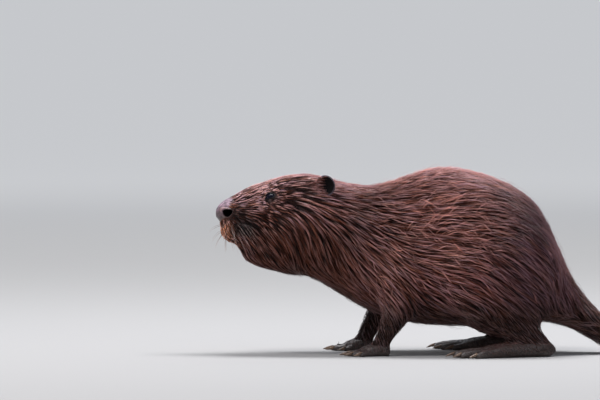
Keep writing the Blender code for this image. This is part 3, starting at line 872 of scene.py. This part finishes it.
# A strand's rings: how far along, how much of the coat's depth it has risen there, and half its width
BODY_STRAND = ((0.0, 0.0, 0.5), (0.26, 0.66, 0.5), (0.62, 1.0, 0.36), (1.0, 0.9, 0.0))
FACE_STRAND = ((0.0, 0.0, 0.5), (0.46, 0.85, 0.45), (1.0, 1.0, 0.0))
FACE_END = 105  # back from the nose, in mm
COAT_END = (572, 586)  # where it thins out on the tail's root
LEG_DENSITY, EAR_DENSITY = 0.38, 2.0  # roots on each square mm
STRANDS_IN_PIECE = 12000
STRAY = 0.06  # share of the strands that stay out of their lock
SHORT_HAIR, SHORT_DEPTH = 4, 0.45  # length and depth of the hair on the ears and the feet, in mm
GUIDE_STEPS = 6  # steps in which a lock's path follows the skin
PATCH = 0.003  # a strand's share of the unwrapped skin


def strand_table(x, column):
    return along_table([(row[0], row[column]) for row in STRANDS], x)


def lie_angle(mm):
    """How steeply the hair runs down towards the tail at each point, in radians."""
    x, z, angle = np.array(LIE, float).T
    away = (mm[:, 0, None] - x) ** 2 + (mm[:, 2, None] - z) ** 2
    near = np.exp(-away / (2 * (12 + 0.07 * mm[:, 0, None]) ** 2)) + 1e-9 / (1 + away)
    return np.radians((near * angle).sum(axis=1) / near.sum(axis=1))


def lie(mm, way, turn):
    """The direction of the hair on the skin, where the skin faces way, turned by a few radians."""
    angle = lie_angle(mm) + turn
    side = np.sign(mm[:, 1]) * ramp(np.abs(mm[:, 1]), 0, 45)
    out = side * (0.12 + 0.75 * np.clip(-way[:, 0], 0, 1))
    run = np.stack([np.cos(angle), out, -np.sin(angle)], axis=1)
    for eye, away in from_eyes(mm):
        run += unit(mm - eye) * 0.9 * hill((away[:, None], 11))
    return unit(run - way * (run * way).sum(axis=1, keepdims=True))


def fur_surface(skin):
    """Arrays of the skin's faces: corners, unwrapped corners, corner normals and area in square mm."""
    mesh = skin.data
    corners = read(mesh.loops, "vertex_index", kind=np.int32).reshape(-1, 3)
    unwrapped = read(mesh.uv_layers["OFBake"].uv, "vector", 2).reshape(-1, 3, 2)
    points = places(skin)[corners]
    a, b, c = points.transpose(1, 0, 2)
    return {
        "points": points, "ways": normals(skin)[corners], "uv": unwrapped.astype(float),
        "area": np.linalg.norm(np.cross(b - a, c - a), axis=1) / 2 / MM**2,
        "index": read(mesh.polygons, "material_index", kind=np.int32),
    }


def furriness(surface, frames):
    """Roots wanted on each square mm of each face, nothing on the bare parts and the lids."""
    middle = surface["points"].mean(axis=1)
    index = surface["index"]
    mm = from_tip(middle)
    x, y, z = mm.T
    legs = (np.abs(y) > LEGS_OUT) & (z < 60)
    wanted = np.where(legs, LEG_DENSITY, strand_table(x, DENSITY))
    wanted = wanted * np.isin(index, (FUR, NOSE)) * fall(x, *COAT_END)
    creep = 1.2 + 8 * ramp(x, 14, 20) * ramp(z, 184, 192)
    wanted *= fall(pad_depth(middle) / creep, -0.2, 1.0)
    wanted *= 1 - 0.25 * fall(z, 85, 120) * ramp(x, 150, 200)
    for side in SIDES:
        place = np.array(ear_place(side).inverted())
        local = (middle @ place[:3, :3].T + place[:3, 3]) / MM
        back = (index == EAR_BACK) & (np.abs(local).max(axis=1) < 20) & (local[:, 1] > -2.2)
        wanted[back] = EAR_DENSITY
    for axes in frames.values():
        u, v, w = from_eye(middle, axes)
        away = np.linalg.norm((middle - axes[0]) / MM, axis=1)
        wanted *= 1 + 1.3 * hill((away - 12, 7))
        wanted[(slit_share(u, v) < 1.1) & (w > -3)] = 0
    wanted[nostril_share(mm) < 1.5] = 0
    wanted[(z < 9) & (x < 500)] = 0
    on_foot = (index == BARE) & (x < 540) & (z > 7) & (surface["ways"].mean(axis=1)[:, 2] > -0.2)
    heel = np.where(x > 300, ramp(x, 330, 400), ramp(x, 175, 195))
    return np.where(on_foot, 0.12 + 0.75 * heel, wanted)


def scattered(surface, weight, count):
    """count random places on the faces, as many on each as its weight asks."""
    total = np.cumsum(weight)
    face = np.searchsorted(total, rng.random(count) * total[-1])
    a, b = rng.random((2, count))
    flip = a + b > 1
    a, b = np.where(flip, 1 - a, a), np.where(flip, 1 - b, b)
    share = np.stack([1 - a - b, a, b], axis=1)[:, :, None]
    return {
        "points": (surface["points"][face] * share).sum(axis=1),
        "ways": unit((surface["ways"][face] * share).sum(axis=1)),
        "uv": (surface["uv"][face] * share).sum(axis=1),
        "on_ear": surface["index"][face] == EAR_BACK,
        "short": np.isin(surface["index"][face], (EAR_BACK, BARE)),
    }


def wave(points, scale, seed):
    """A smooth random value for each point, about -1 to 1, changing over scale millimetres."""
    return np.array([noise.noise(Vector(p) / scale + Vector((seed, 0, 0))) for p in points / MM])


def guides(roots, tree, surface, loose):
    """Each lock's path over the skin and the skin's direction along it, at the strand's levels."""
    points, ways = roots["points"], roots["ways"]
    face_ways = unit(surface["ways"].mean(axis=1))
    on_ear = np.isin(surface["index"], (EAR_BACK, HOLLOW))
    mm = from_tip(points)
    length = strand_table(mm[:, 0], LENGTH)
    legs = (np.abs(mm[:, 1]) > LEGS_OUT) & (mm[:, 2] < 70)
    length = np.where(legs, 9 + 0.14 * mm[:, 2], length)
    for eye, away in from_eyes(mm):
        behind = ramp(mm[:, 0] - eye[0], -4, 6)
        room = 3.4 + (0.42 + 0.4 * behind) * np.maximum(away - 8, 0) + 0.022 * np.maximum(away - 14, 0) ** 2
        length = np.minimum(length, room)
    length = np.where(roots["short"], SHORT_HAIR, length)
    turn = np.radians(WANDER) * (0.75 * wave(points, 38, 3) + rng.normal(0, 0.6, len(points)))
    turn *= 0.55 + 0.45 * ramp(mm[:, 0], 100, 200)
    turn += np.where(loose, np.radians(rng.uniform(-CROSSING, CROSSING, len(points))), 0)
    length = np.where(loose, length * 0.75, length)
    paths, skins = [points], [ways]
    here, way = points, ways
    for step in range(GUIDE_STEPS):
        ahead = lie(from_tip(here), way, turn * (1 - 0.5 * step / GUIDE_STEPS))
        here = here + ahead * (length * MM / GUIDE_STEPS)[:, None]
        found = [tree.find_nearest(Vector(p)) for p in here]
        face = np.array([f[2] for f in found])
        blocked = (on_ear[face] & ~roots["on_ear"])[:, None]
        here = np.where(blocked, paths[-1] + 0.2 * (here - paths[-1]), np.array([f[0] for f in found]))
        way = np.where(blocked, way, face_ways[face])
        paths.append(here)
        skins.append(way)
    at = LEVELS * GUIDE_STEPS
    low = np.minimum(at.astype(int), GUIDE_STEPS - 1)
    part = (at - low)[:, None, None]
    paths, skins = np.array(paths), np.array(skins)
    path, skin_way = (between(rows[low], rows[low + 1], part) for rows in (paths, skins))
    return path, unit(skin_way)


def coat_colour(mm):
    """The coat's colour at a place: wet chestnut under the layers below, each a colour and its share; some of
    the layers are painted sheen, highlight or shade.
    """
    x, z = mm[:, 0], mm[:, 2]
    side = np.abs(mm[:, 1])
    neck = hill((x - 195, 38)) * fall(z, 212, 236) * ramp(z, 150, 180)
    # pale tan patches low on the side
    pale_patches = 0.6 * hill((x - 314, 24), (z - 141, 12)) + 0.3 * hill((x - 232, 22), (z - 141, 13))
    belly = np.clip(1 - ramp(side, 12, 45) * ramp(z, 60, 100) - ramp(z, 110, 160), 0, 1)
    layers = [
        ((0.31, 0.131, 0.124), ramp(z, 205, 240) * (1 - 0.5 * ramp(x, 170, 210) * fall(x, 240, 300))),  # back: paler and pinker towards the top, a painted sheen
        ((0.155, 0.048, 0.026), ramp(x, 36, 58) * fall(x, 160, 210) * fall(z, 180, 215)),  # cheek: redder, and darker as painted shade on the lower side of the head
        ((0.76, 0.33, 0.175), fall(x, 10, 36) * fall(z, 178, 191)),  # lip
        ((0.33, 0.16, 0.148), fall(x, 58, 112) * ramp(z, 195, 209)),  # top of the muzzle: paler, a painted sheen on its upper side
        ((0.44, 0.222, 0.208), 0.6 * hill((x - 86, 28)) * ramp(z, 222, 233)),  # forehead: a painted highlight on the top of the head
        ((0.33, 0.155, 0.142), 0.5 * hill((x - 112, 26), (z - 197, 10))),  # temple
        ((0.2, 0.082, 0.072), 0.5 * hill((x - 112, 26), (z - 219, 8))),  # in front of the ear
        ((0.17, 0.066, 0.056), neck),
        ((0.018, 0.008, 0.007), 0.98 * hill((x - 37, 15), (z - 181, 13), power=4)),  # painted shadow behind the muzzle, at the mouth
        ((0.045, 0.019, 0.016), 0.9 * hill((x - 31, 9), (z - 197, 9))),  # painted shade behind the nostril
        ((0.27, 0.102, 0.094), ramp(x, 250, 290) * fall(x, 400, 450) * fall(z, 130, 170)),  # thigh
        ((0.46, 0.215, 0.165), pale_patches),
        ((0.08, 0.032, 0.041), ramp(x, 335, 430) * (1 - 0.3 * ramp(z, 190, 260))),  # rump: darker, with a bluish tint that is a painted sky reflection
        ((0.15, 0.066, 0.065), fall(z, 45, 110)),  # legs
        ((0.17, 0.07, 0.086), 0.6 * ramp(x, 380, 430) * fall(z, 150, 195) * ramp(z, 30, 60)),  # haunch: bluer, a painted sky reflection
        ((0.1, 0.048, 0.042), belly),
    ]
    for eye, away in from_eyes(mm):
        # a painted highlight on the brow hair in front of and above the eye, and a darker ring round the eye
        brow_highlight = 0.25 * hill((x - eye[0] + 15, 11), (z - eye[2] - 5, 6))
        layers += [((0.58, 0.33, 0.3), brow_highlight), ((0.04, 0.017, 0.016), 0.85 * fall(away, 7, 11))]
    colour = np.tile((0.26, 0.101, 0.082), (len(mm), 1))
    for tint, share in layers:
        colour += (np.array(tint) - colour) * share[:, None]
    return np.clip(colour, 0.01, 1)


def strands(shape, roots, lock, path, skin_way, height, depth):
    """Rings of every strand: roots spread over the skin, tips gathered into their lock's point."""
    count = len(lock)
    apart = roots["points"] - path[0][lock]
    ahead = unit(path[1][lock] - path[0][lock])
    along = (apart * ahead).sum(axis=1, keepdims=True) * ahead
    across = apart - along
    reach = rng.uniform(0.74, 1.0, count)
    thin = (height > 1)[lock]
    near_nose = fall(from_tip(path[0])[:, 0], 30, 60)
    gather = (rng.uniform(0.8, 0.97, len(path[0])) - 0.2 * near_nose)[lock]
    width = strand_table(from_tip(roots["points"])[:, 0], WIDTH) * np.where(roots["short"], 0.6, 1.0)
    bend = rng.normal(0, 1, (2, count)) * width * 0.4 * MM
    layer = (0.62 + 0.38 * height)[lock] * rng.uniform(0.94, 1.05, count)
    stray = rng.random(count) < STRAY
    gather = np.where(stray, 0.3, gather)
    width = np.where(stray, 0.6 * width, width)
    layer = np.where(stray, layer * rng.uniform(1.0, 1.5, count), layer)
    rings = []
    for level, rise, half in shape:
        t = level * reach
        k = np.minimum(np.searchsorted(LEVELS, t, side="right") - 1, len(LEVELS) - 2)
        part = ((t - LEVELS[k]) / (LEVELS[k + 1] - LEVELS[k]))[:, None]
        middle = between(path[k, lock], path[k + 1, lock], part)
        way = unit(between(skin_way[k, lock], skin_way[k + 1, lock], part))
        draw = np.where(thin, 0.9, gather * (1 - (1 - level) ** 2.4))[:, None]
        lateral = unit(np.cross(ahead, way))
        sway = lateral * (bend[0] * math.sin(math.pi * level) + bend[1] * level)[:, None]
        lift = way * (depth(middle, roots) * rise * layer * MM)[:, None]
        point = middle + across * (1 - draw) + along * (1 - 0.6 * draw) + lift + sway
        point[:, 2] = np.maximum(point[:, 2], 0.4 * MM)
        root = np.where((level == 0) & (roots["start"] > 0.42), 0.3, 1.0)
        rings.append((point, way, width * half * root * MM, np.maximum(level, roots["start"])))
    return rings


def coat_lift(middle, roots):
    return np.where(roots["short"], SHORT_DEPTH, coat_depth(from_tip(middle)))


def ring_faces(rings, sides):
    """The faces between rings of corners that are numbered one ring after another."""
    return [
        (sides * r + j, sides * r + (j + 1) % sides, sides * (r + 1) + (j + 1) % sides, sides * (r + 1) + j)
        for r in range(rings - 1) for j in range(sides)
    ]


def strand_mesh(name, rings, uv, colours, tone):
    """A closed three-sided pointed tube for each strand."""
    points, ways = (np.array([ring[k] for ring in rings]) for k in range(2))
    count, last = len(uv), len(rings) - 1
    corners = []
    for r in range(last):
        ahead = unit(points[r + 1] - points[max(r - 1, 0)])
        lateral = unit(np.cross(ahead, ways[r]))
        lift = unit(np.cross(lateral, ahead))
        half = rings[r][2][:, None]
        corners += [points[r] + lateral * half, points[r] - lateral * half, points[r] + lift * half * 0.9]
    corners.append(points[last])
    each = len(corners)
    faces = [(0, 2, 1)]
    for a, b, c, d in ring_faces(last, 3):
        faces += [(a, b, c), (a, c, d)]
    faces += [(each - 4 + j, each - 4 + (j + 1) % 3, each - 1) for j in range(3)]
    index = (np.arange(count)[:, None, None] * each + np.array(faces)).reshape(-1)
    mesh = bpy.data.meshes.new(name)
    mesh.vertices.add(each * count)
    mesh.loops.add(len(index))
    mesh.loops.foreach_set("vertex_index", index.astype(np.int32))
    mesh.polygons.add(len(index) // 3)
    mesh.polygons.foreach_set("loop_start", np.arange(0, len(index), 3, dtype=np.int32))
    obj = new_object(name, mesh)
    put(obj, np.stack(corners, axis=1))
    mesh.update(calc_edges=True)
    levels = np.repeat([ring[3] for ring in rings], [3] * last + [1], axis=0)
    give(obj, "along", levels.T.ravel())
    give(obj, "tone", np.repeat(tone, each))
    give(obj, "coat_colour", np.repeat(colours, each, axis=0))
    patch = [(j - 1, r - 1) for r in range(last) for j in range(3)] + [(0, 1.5)]
    spread = (uv[:, None, :] + np.array(patch)[None] * PATCH / 3).reshape(-1, 2)
    mesh.uv_layers.new(name="OFBake").uv.foreach_set("vector", spread[index].astype(np.float32).ravel())
    return obj


def nearest_lock(points, path):
    """The lock each root belongs to: cells three times as long along the lie as across it."""
    nearest = KDTree(len(path[0]))
    for i, p in enumerate(path[0]):
        nearest.insert(p, i)
    nearest.balance()
    near = np.array([[found[1] for found in nearest.find_n(p, NEAR_LOCKS)] for p in points])
    apart = points[:, None, :] - path[0][near]
    ahead = unit(path[1][near] - path[0][near])
    along = (apart * ahead).sum(axis=2)
    distance = (apart**2).sum(axis=2) - (1 - CELL**2) * along**2
    return near[np.arange(len(points)), distance.argmin(axis=1)]


def made_coat(skin, frames, material):
    """The whole coat, in pieces by side and by place along the body."""
    tree = tree_of(skin)
    surface = fur_surface(skin)
    weight = furriness(surface, frames) * surface["area"]
    share = 1.0
    count = int(weight.sum() * share)
    roots = scattered(surface, weight, count)
    middle_x = from_tip(surface["points"].mean(axis=1))[:, 0]
    lock_weight = weight / strand_table(middle_x, GATHERED)
    lock_roots = scattered(surface, lock_weight, int(lock_weight.sum() * share))
    x, _, z = from_tip(lock_roots["points"]).T
    flank = hill((x - 310, 60), (z - 180, 38))
    loose = rng.random(len(x)) < LOOSE + (LOOSE_FLANK - LOOSE) * flank
    loose &= (x > 215) & (z > 100)
    path, skin_way = guides(lock_roots, tree, surface, loose)
    lock = nearest_lock(roots["points"], path)
    on_top = rng.random(len(x)) < 0.28 + 0.1 * ramp(x, 100, 200)
    height = np.where(on_top, rng.uniform(*HIGH, len(x)), rng.uniform(*LOW, len(x)))
    height = np.where(loose, LOOSE_HEIGHT, height)
    mm = from_tip(roots["points"])
    roots["start"] = 0.5 * ramp(pad_depth(roots["points"]), -5, -1)
    forehead = ramp(z, 203, 220) * fall(x, 115, 170)
    spread = strand_table(x, CONTRAST) * (1 + 0.45 * forehead)
    # tone: mostly painted light and shade, the higher locks lighter and the lower ones darker, with a random
    # part
    tone = 0.5 + spread * (0.8 * height - 0.4 + rng.normal(0, 0.12, len(x)))
    tone = np.clip(tone[lock] + rng.normal(0, 0.12, count), 0, 1)
    colours = coat_colour(mm) * (1 + 0.16 * wave(path[0], 30, 9))[lock][:, None]
    hue = rng.normal(0, 1, len(x))[lock][:, None]
    colours *= np.clip(1 + hue * np.array(HUE_SWAY), 0.4, 1.6)
    colours[loose[lock]] *= LOOSE_TINT
    pieces = []
    on_face = mm[:, 0] < FACE_END
    for part, shape, inside in (("face", FACE_STRAND, on_face), ("body", BODY_STRAND, ~on_face)):
        for side, sign in SIDES.items():
            members = np.flatnonzero((mm[:, 1] * sign >= 0) & inside)
            members = members[np.argsort(mm[members, 0], kind="stable")]
            groups = np.array_split(members, math.ceil(len(members) / STRANDS_IN_PIECE))
            for number, chosen in enumerate(groups, 1):
                rooted = {key: values[chosen] for key, values in roots.items()}
                rings = strands(shape, rooted, lock[chosen], path, skin_way, height, coat_lift)
                name = f"coat_{part}_{side}_{number}"
                piece = strand_mesh(name, rings, rooted["uv"], colours[chosen], tone[chosen])
                pieces.append(finished(piece, material))
    return pieces + [ear_wisps(side, tree, surface, material) for side in SIDES]


def ear_wisps(side, tree, surface, material):
    """Hair from the temple that crosses the front of the ear's opening."""
    count, each = WISPS, WISP_STRANDS
    place = ear_place(side)
    wide, high = EAR["half_width"], EAR["half_height"]
    z = np.linspace(-0.95, 0.98, count) + rng.normal(0, 0.03, count)
    front = -np.sqrt(np.maximum(1 - z**2, 0.05))
    path = []
    for k in range(count):
        start = Vector((wide * (front[k] - rng.uniform(0.5, 1.5)), -2, high * (z[k] + 0.12)))
        root = tree.find_nearest(place @ (start * MM))[0]
        over = place @ (Vector((wide * front[k], -6.5, high * (z[k] + 0.06))) * MM)
        reach = front[k] + 0.05 + 1.1 * rng.random() ** 1.8
        tip = place @ (Vector((wide * reach, rng.uniform(-4.5, -2.5), high * (z[k] - 0.1))) * MM)
        path.append([root * (1 - t) ** 2 + over * 2 * t * (1 - t) + tip * t * t for t in LEVELS])
    path = np.array(path).transpose(1, 0, 2)
    out = np.array(place.to_3x3() @ Vector((0, -1, 0)))
    lock = np.repeat(np.arange(count), each)
    faces = [tree.find_nearest(Vector(p))[2] for p in path[0][lock]]
    roots = {
        "points": path[0][lock] + rng.normal(0, 0.8 * MM, (len(lock), 3)),
        "uv": surface["uv"][faces].mean(axis=1),
        "on_ear": np.zeros(len(lock), bool),
        "short": np.zeros(len(lock), bool),
        "start": np.full(len(lock), 0.4),
    }
    out = np.broadcast_to(out, path.shape)
    rings = strands(BODY_STRAND, roots, lock, path, out, rng.random(count), lambda middle, roots: WISP_DEPTH)
    colours = coat_colour(from_tip(roots["points"])) * rng.uniform(0.4, 1.0, count)[lock][:, None]
    tone = rng.uniform(0.15, 0.95, count)[lock]
    return finished(strand_mesh(f"coat_ear_{side}", rings, roots["uv"], colours, tone), material)


# ---------------------------------------------------------------- small pieces

WHISKER_STEPS, WHISKER_SIDES = 9, 5
WHISKER_THICK = 0.3  # half width at the root, in mm

# Whiskers: where they root (back, up), which way they start (back, out, up), and their length in mm
WHISKERS = (
    (9, 180, (-0.8, 0.5, -0.1), 26), (12, 174, (-0.8, 0.55, -0.35), 30), (11, 168, (-0.6, 0.55, -0.5), 28),
    (17, 182, (-0.5, 0.8, -0.1), 34), (18, 175, (-0.4, 0.8, -0.35), 38), (17, 168, (-0.25, 0.7, -0.6), 34),
    (24, 182, (-0.1, 0.9, -0.15), 42), (25, 175, (0.0, 0.9, -0.4), 44), (24, 168, (0.1, 0.75, -0.6), 36),
    (31, 183, (0.2, 0.9, -0.2), 42), (32, 176, (0.3, 0.8, -0.45), 42), (31, 169, (0.3, 0.6, -0.7), 32),
    (39, 184, (0.4, 0.6, -0.5), 36), (43, 186, (0.45, 0.45, -0.6), 34), (40, 177, (0.4, 0.5, -0.7), 30),
    (15, 162, (-0.2, 0.5, -0.8), 22), (23, 162, (0.0, 0.5, -0.8), 22),
    (66, 232, (0.1, 0.5, 0.8), 13), (72, 234, (0.25, 0.5, 0.8), 16), (78, 235, (0.4, 0.45, 0.7), 14),
    (38, 222, (-0.2, 0.3, 0.9), 8), (105, 205, (0.6, 0.6, -0.2), 14),
)


def whisker(tree, side, back, up, way, length):
    """A hair that starts out of the skin, then droops and sweeps back."""
    sign = SIDES[side]
    jitter = rng.uniform(-0.8, 0.8, 2)
    start = in_frame(back + jitter[0], sign * 90, up + jitter[1])
    root, out, _, _ = tree.ray_cast(start, Vector((0, -sign, 0)))
    if root is None:  # just past the outline of the lip
        root, out, _, _ = tree.find_nearest(in_frame(back + 2, sign * 8, up))
    ahead = Vector((way[0], way[1] * sign, way[2])).normalized()
    points = [root - out * MM]
    for _ in range(WHISKER_STEPS):
        ahead = (ahead + Vector((0.035, 0, -0.05 if up < 200 else 0.01))).normalized()
        points.append(points[-1] + ahead * length * rng.uniform(0.95, 1.05) * MM / WHISKER_STEPS)
    return points


def made_whiskers(tree):
    """Closed tapering tubes as one mesh, with how far along they are."""
    shape = bmesh.new()
    along = []
    for path in [whisker(tree, side, *row) for side in SIDES for row in WHISKERS]:
        rows = []
        for i, p in enumerate(path):
            ahead = (path[min(i + 1, WHISKER_STEPS)] - path[max(i - 1, 0)]).normalized()
            across = ahead.orthogonal().normalized()
            other = ahead.cross(across)
            t = i / WHISKER_STEPS
            radius = WHISKER_THICK * MM * (1 - 0.85 * t)
            angles = [2 * math.pi * k / WHISKER_SIDES for k in range(WHISKER_SIDES)]
            ring = [p + (across * math.cos(a) + other * math.sin(a)) * radius for a in angles]
            rows.append([shape.verts.new(corner) for corner in ring])
            along += [t] * WHISKER_SIDES
        join_rows(shape, rows)
        shape.faces.new(rows[0])
        shape.faces.new(rows[-1])
    obj = finished(from_bmesh("whiskers", shape), whisker_material())
    give(obj, "along", along)
    return obj


def made_eye(side, material):
    centre, radius = eyeballs[side]
    shape = bmesh.new()
    bmesh.ops.create_uvsphere(shape, u_segments=64, v_segments=48, radius=radius)
    bmesh.ops.translate(shape, verts=shape.verts, vec=Vector(centre))
    eye = finished(from_bmesh(f"eyeball_{side}", shape), material)
    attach(eye, "root")
    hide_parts(f"eye_{side}")


def made_claw(node, material):
    """The claw's own solid, rounded."""
    obj = from_bmesh(node + "_horn", swollen([node], CLAW_SWELL))
    rounding = obj.modifiers.new("rounding", "SUBSURF")
    rounding.levels = rounding.render_levels = 2
    baked(obj)
    points = places(obj)
    points[:, 2] = np.maximum(points[:, 2], 0)
    put(obj, points)
    finished(obj, material)
    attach(obj, "root")
    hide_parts(node)


SCALES_BELOW = 0.05  # how high up the tail the scales reach, in metres
# One scale, in mm: the rows' distance and its half width are shares of its length and size
SCALE = {"long": 5.4, "wide": 7.2, "rise": 0.75, "sink": 0.5, "lift": 0.3, "rows": 0.87, "half": 0.58}


def tail_scale(centre, way, size, turn):
    """The corners of one plate: a flat foot, a slanting edge and a domed back, its rear edge raised."""
    back = Vector((math.cos(turn), math.sin(turn), 0))
    back = (back - back.dot(way) * way).normalized()
    across = way.cross(back)
    corners = []
    for reach, rise in ((1.0, -SCALE["sink"]), (0.97, 0.35 * SCALE["rise"]), (0.68, SCALE["rise"])):
        for k in range(6):
            a = math.pi / 3 * k
            x = math.cos(a) * SCALE["long"] * SCALE["half"] * reach * size
            y = math.sin(a) * SCALE["wide"] * SCALE["half"] * reach * size
            lift = SCALE["lift"] * math.cos(a) * (rise > 0)
            corners.append(centre + (back * x + across * y + way * (rise + lift)) * MM)
    corners.append(centre + way * SCALE["rise"] * 1.15 * MM)
    for corner in corners:
        corner.z = max(corner.z, 0)
    return corners


def made_scales(tree):
    """Rows of plates over the top and the underside of the paddle."""
    low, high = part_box("tail_paddle")
    start = from_tip([low])[0][0] + 22
    end, half = from_tip([high])[0][:2]
    plate = ring_faces(3, 6) + [(12 + j, 12 + (j + 1) % 6, 18) for j in range(6)] + [(5, 4, 3, 2, 1, 0)]
    points, faces, tones = [], [], []
    columns = int(2 * half / SCALE["wide"]) + 2
    for row in range(int((end - start + 14) / (SCALE["long"] * SCALE["rows"]))):
        x = start - 8 + row * SCALE["long"] * SCALE["rows"]
        for column in range(columns):
            y = (column - columns / 2 + 0.5 * (row % 2)) * SCALE["wide"]
            for top, beyond in ((1, 60), (-1, -20)):
                place = in_frame(x + rng.normal(0, 0.3), y + rng.normal(0, 0.3), beyond)
                spot, way, _, _ = tree.ray_cast(place, Vector((0, 0, -top)))
                if spot is None or way.z * top < 0.45 or spot.z > SCALES_BELOW:
                    continue
                size = 1 - 0.35 * float(ramp(abs(y), 0.6 * half, half)) + rng.normal(0, 0.04)
                corners = tail_scale(spot, way, size, math.radians(rng.normal(0, 4)))
                faces += [tuple(len(points) + k for k in face) for face in plate]
                points += corners
                tones += [float(np.clip(rng.normal(0.5, 0.22), 0, 1))] * len(corners)
    mesh = bpy.data.meshes.new("tail_scales")
    mesh.from_pydata(points, [], faces)
    obj = new_object("tail_scales", mesh)
    edited(obj, lambda shape: bmesh.ops.recalc_face_normals(shape, faces=shape.faces))
    give(obj, "tone", tones)
    return finished(obj, scale_material())


# ---------------------------------------------------------------- build

blue_leather = grained(
    "ear_skin", (700, 4, 0.65), (46, 36, 44), (76, 63, 74), 0.3, (0.5, 0.0003),
    Coat_Weight=0.08, Coat_Roughness=0.35,
)
# the ear cup's inside: dark skin, made near black as painted shade in the cup
dark_lining_and_shade = grained(
    "hollow_skin", (900, 4, 0.65), (4, 1, 2), (17, 9, 12), 0.3, (0.5, 0.0003),
    Roughness=0.7, Specular_IOR_Level=0.15,
)
lids = grained(
    "lid_skin", (1800, 3, 0.6), (6, 3, 3), (19, 11, 12), 0.35, (0.4, 0.0002),
    Roughness=0.65, Specular_IOR_Level=0.12,
)
slots = [fur_skin_material(), nose_material(), blue_leather, bare_material(), lids, dark_lining_and_shade]
skin, eye_frames = made_skin(slots)
unwrap(skin)
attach(skin, "root")
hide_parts(*FURRED, *FEET, *EARS, "nose", "tail_paddle")
for piece in made_coat(skin, eye_frames, coat_material()):
    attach(piece, "root")


eye_look = eye_material()
for side in SIDES:
    made_eye(side, eye_look)


skin_tree = tree_of(skin)
whiskers = made_whiskers(skin_tree)
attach(whiskers, "root")
scales = made_scales(skin_tree)
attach(scales, "root")
horn = claw_material()
for node in sorted(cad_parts):
    if node.startswith("claw_"):
        made_claw(node, horn)


# ---------------------------------------------------------------- stage

FLOOR_REACH = 200  # metres
# Each light's place, what it points at and its size in metres, its power and its colour
LIGHTS = {
    "key": ((-1.1, -1.0, 2.8), (0, 0, 0.15), (0.8, 0.8), 42, (1.0, 0.97, 0.95)),
    "top": ((0.1, 0.5, 2.5), (0, 0, 0.15), (1.7, 0.7), 105, (0.96, 0.97, 1.0)),
    "low": ((1.6, -2.4, 0.9), (0.1, 0, 0.1), (1.2, 1.0), 8, (1.0, 0.97, 0.95)),
    "front": ((-2.6, -0.9, 0.8), (-0.3, 0, 0.18), (1.0, 0.8), 16, (1.0, 0.97, 0.94)),
    "behind": ((0.3, 3.6, 2.6), (0, 0, 0.2), (4.0, 1.4), 16, (1, 1, 1)),
}
LENS, SENSOR = 400, 36
VIEW_WIDTH = 0.84  # metres across the picture at the animal
AIM = (118.3, 0, 214.8)
CAMERA_RISE = math.radians(2)


def linked(name, data, place, towards):
    """An object with that data at the place, looking along towards."""
    made = bpy.data.objects.new(name, data)
    made.location = place
    made.rotation_euler = towards.to_track_quat("-Z", "Y").to_euler()
    bpy.context.scene.collection.objects.link(made)
    return made


def made_floor():
    """Plain and pale, and paler where the lamps don't reach, so that it looks even from all sides."""
    shape = bmesh.new()
    bmesh.ops.create_grid(shape, x_segments=1, y_segments=1, size=FLOOR_REACH)
    m = principled("floor_pale", Roughness=1.0, Specular_IOR_Level=0.0)
    reach = m.node("VectorMath", {0: m.place()}, operation="LENGTH").outputs["Value"]
    m.surface(Base_Color=m.mix(m.curve(reach, 0.3, 8.0), (0.3, 0.295, 0.29), (0.9, 0.87, 0.8)))
    obj = from_bmesh("floor", shape)
    obj.data.materials.append(m.owner)


def area_light(name, place, target, size, power, colour):
    lamp = bpy.data.lights.new(name, "AREA")
    lamp.shape = "RECTANGLE"
    lamp.size, lamp.size_y = size
    lamp.energy = power
    lamp.color = colour
    linked(name, lamp, place, Vector(target) - Vector(place))


def studio():
    """A soft surround, brighter overhead than at the sides."""
    world = bpy.data.worlds.new("studio")
    bpy.context.scene.world = world
    n = Nodes(world)
    rise = n.curve(n.height("Generated"), 0.0, 0.9, shape="LINEAR")
    n.give(n.tree.nodes["Background"].inputs[0], n.mix(rise, (0.3, 0.3, 0.31), (0.75, 0.8, 0.92)))


def camera():
    lens = bpy.data.cameras.new("camera")
    lens.lens, lens.sensor_width = LENS, SENSOR
    lens.clip_end = 2 * FLOOR_REACH
    back = Vector((0, -math.cos(CAMERA_RISE), math.sin(CAMERA_RISE)))
    place = in_frame(*AIM) + back * VIEW_WIDTH * LENS / SENSOR
    bpy.context.scene.camera = linked("camera", lens, place, -back)


made_floor()
for name, values in LIGHTS.items():
    area_light(name, *values)
studio()
bpy.context.scene.view_settings.view_transform = "Standard"
camera()
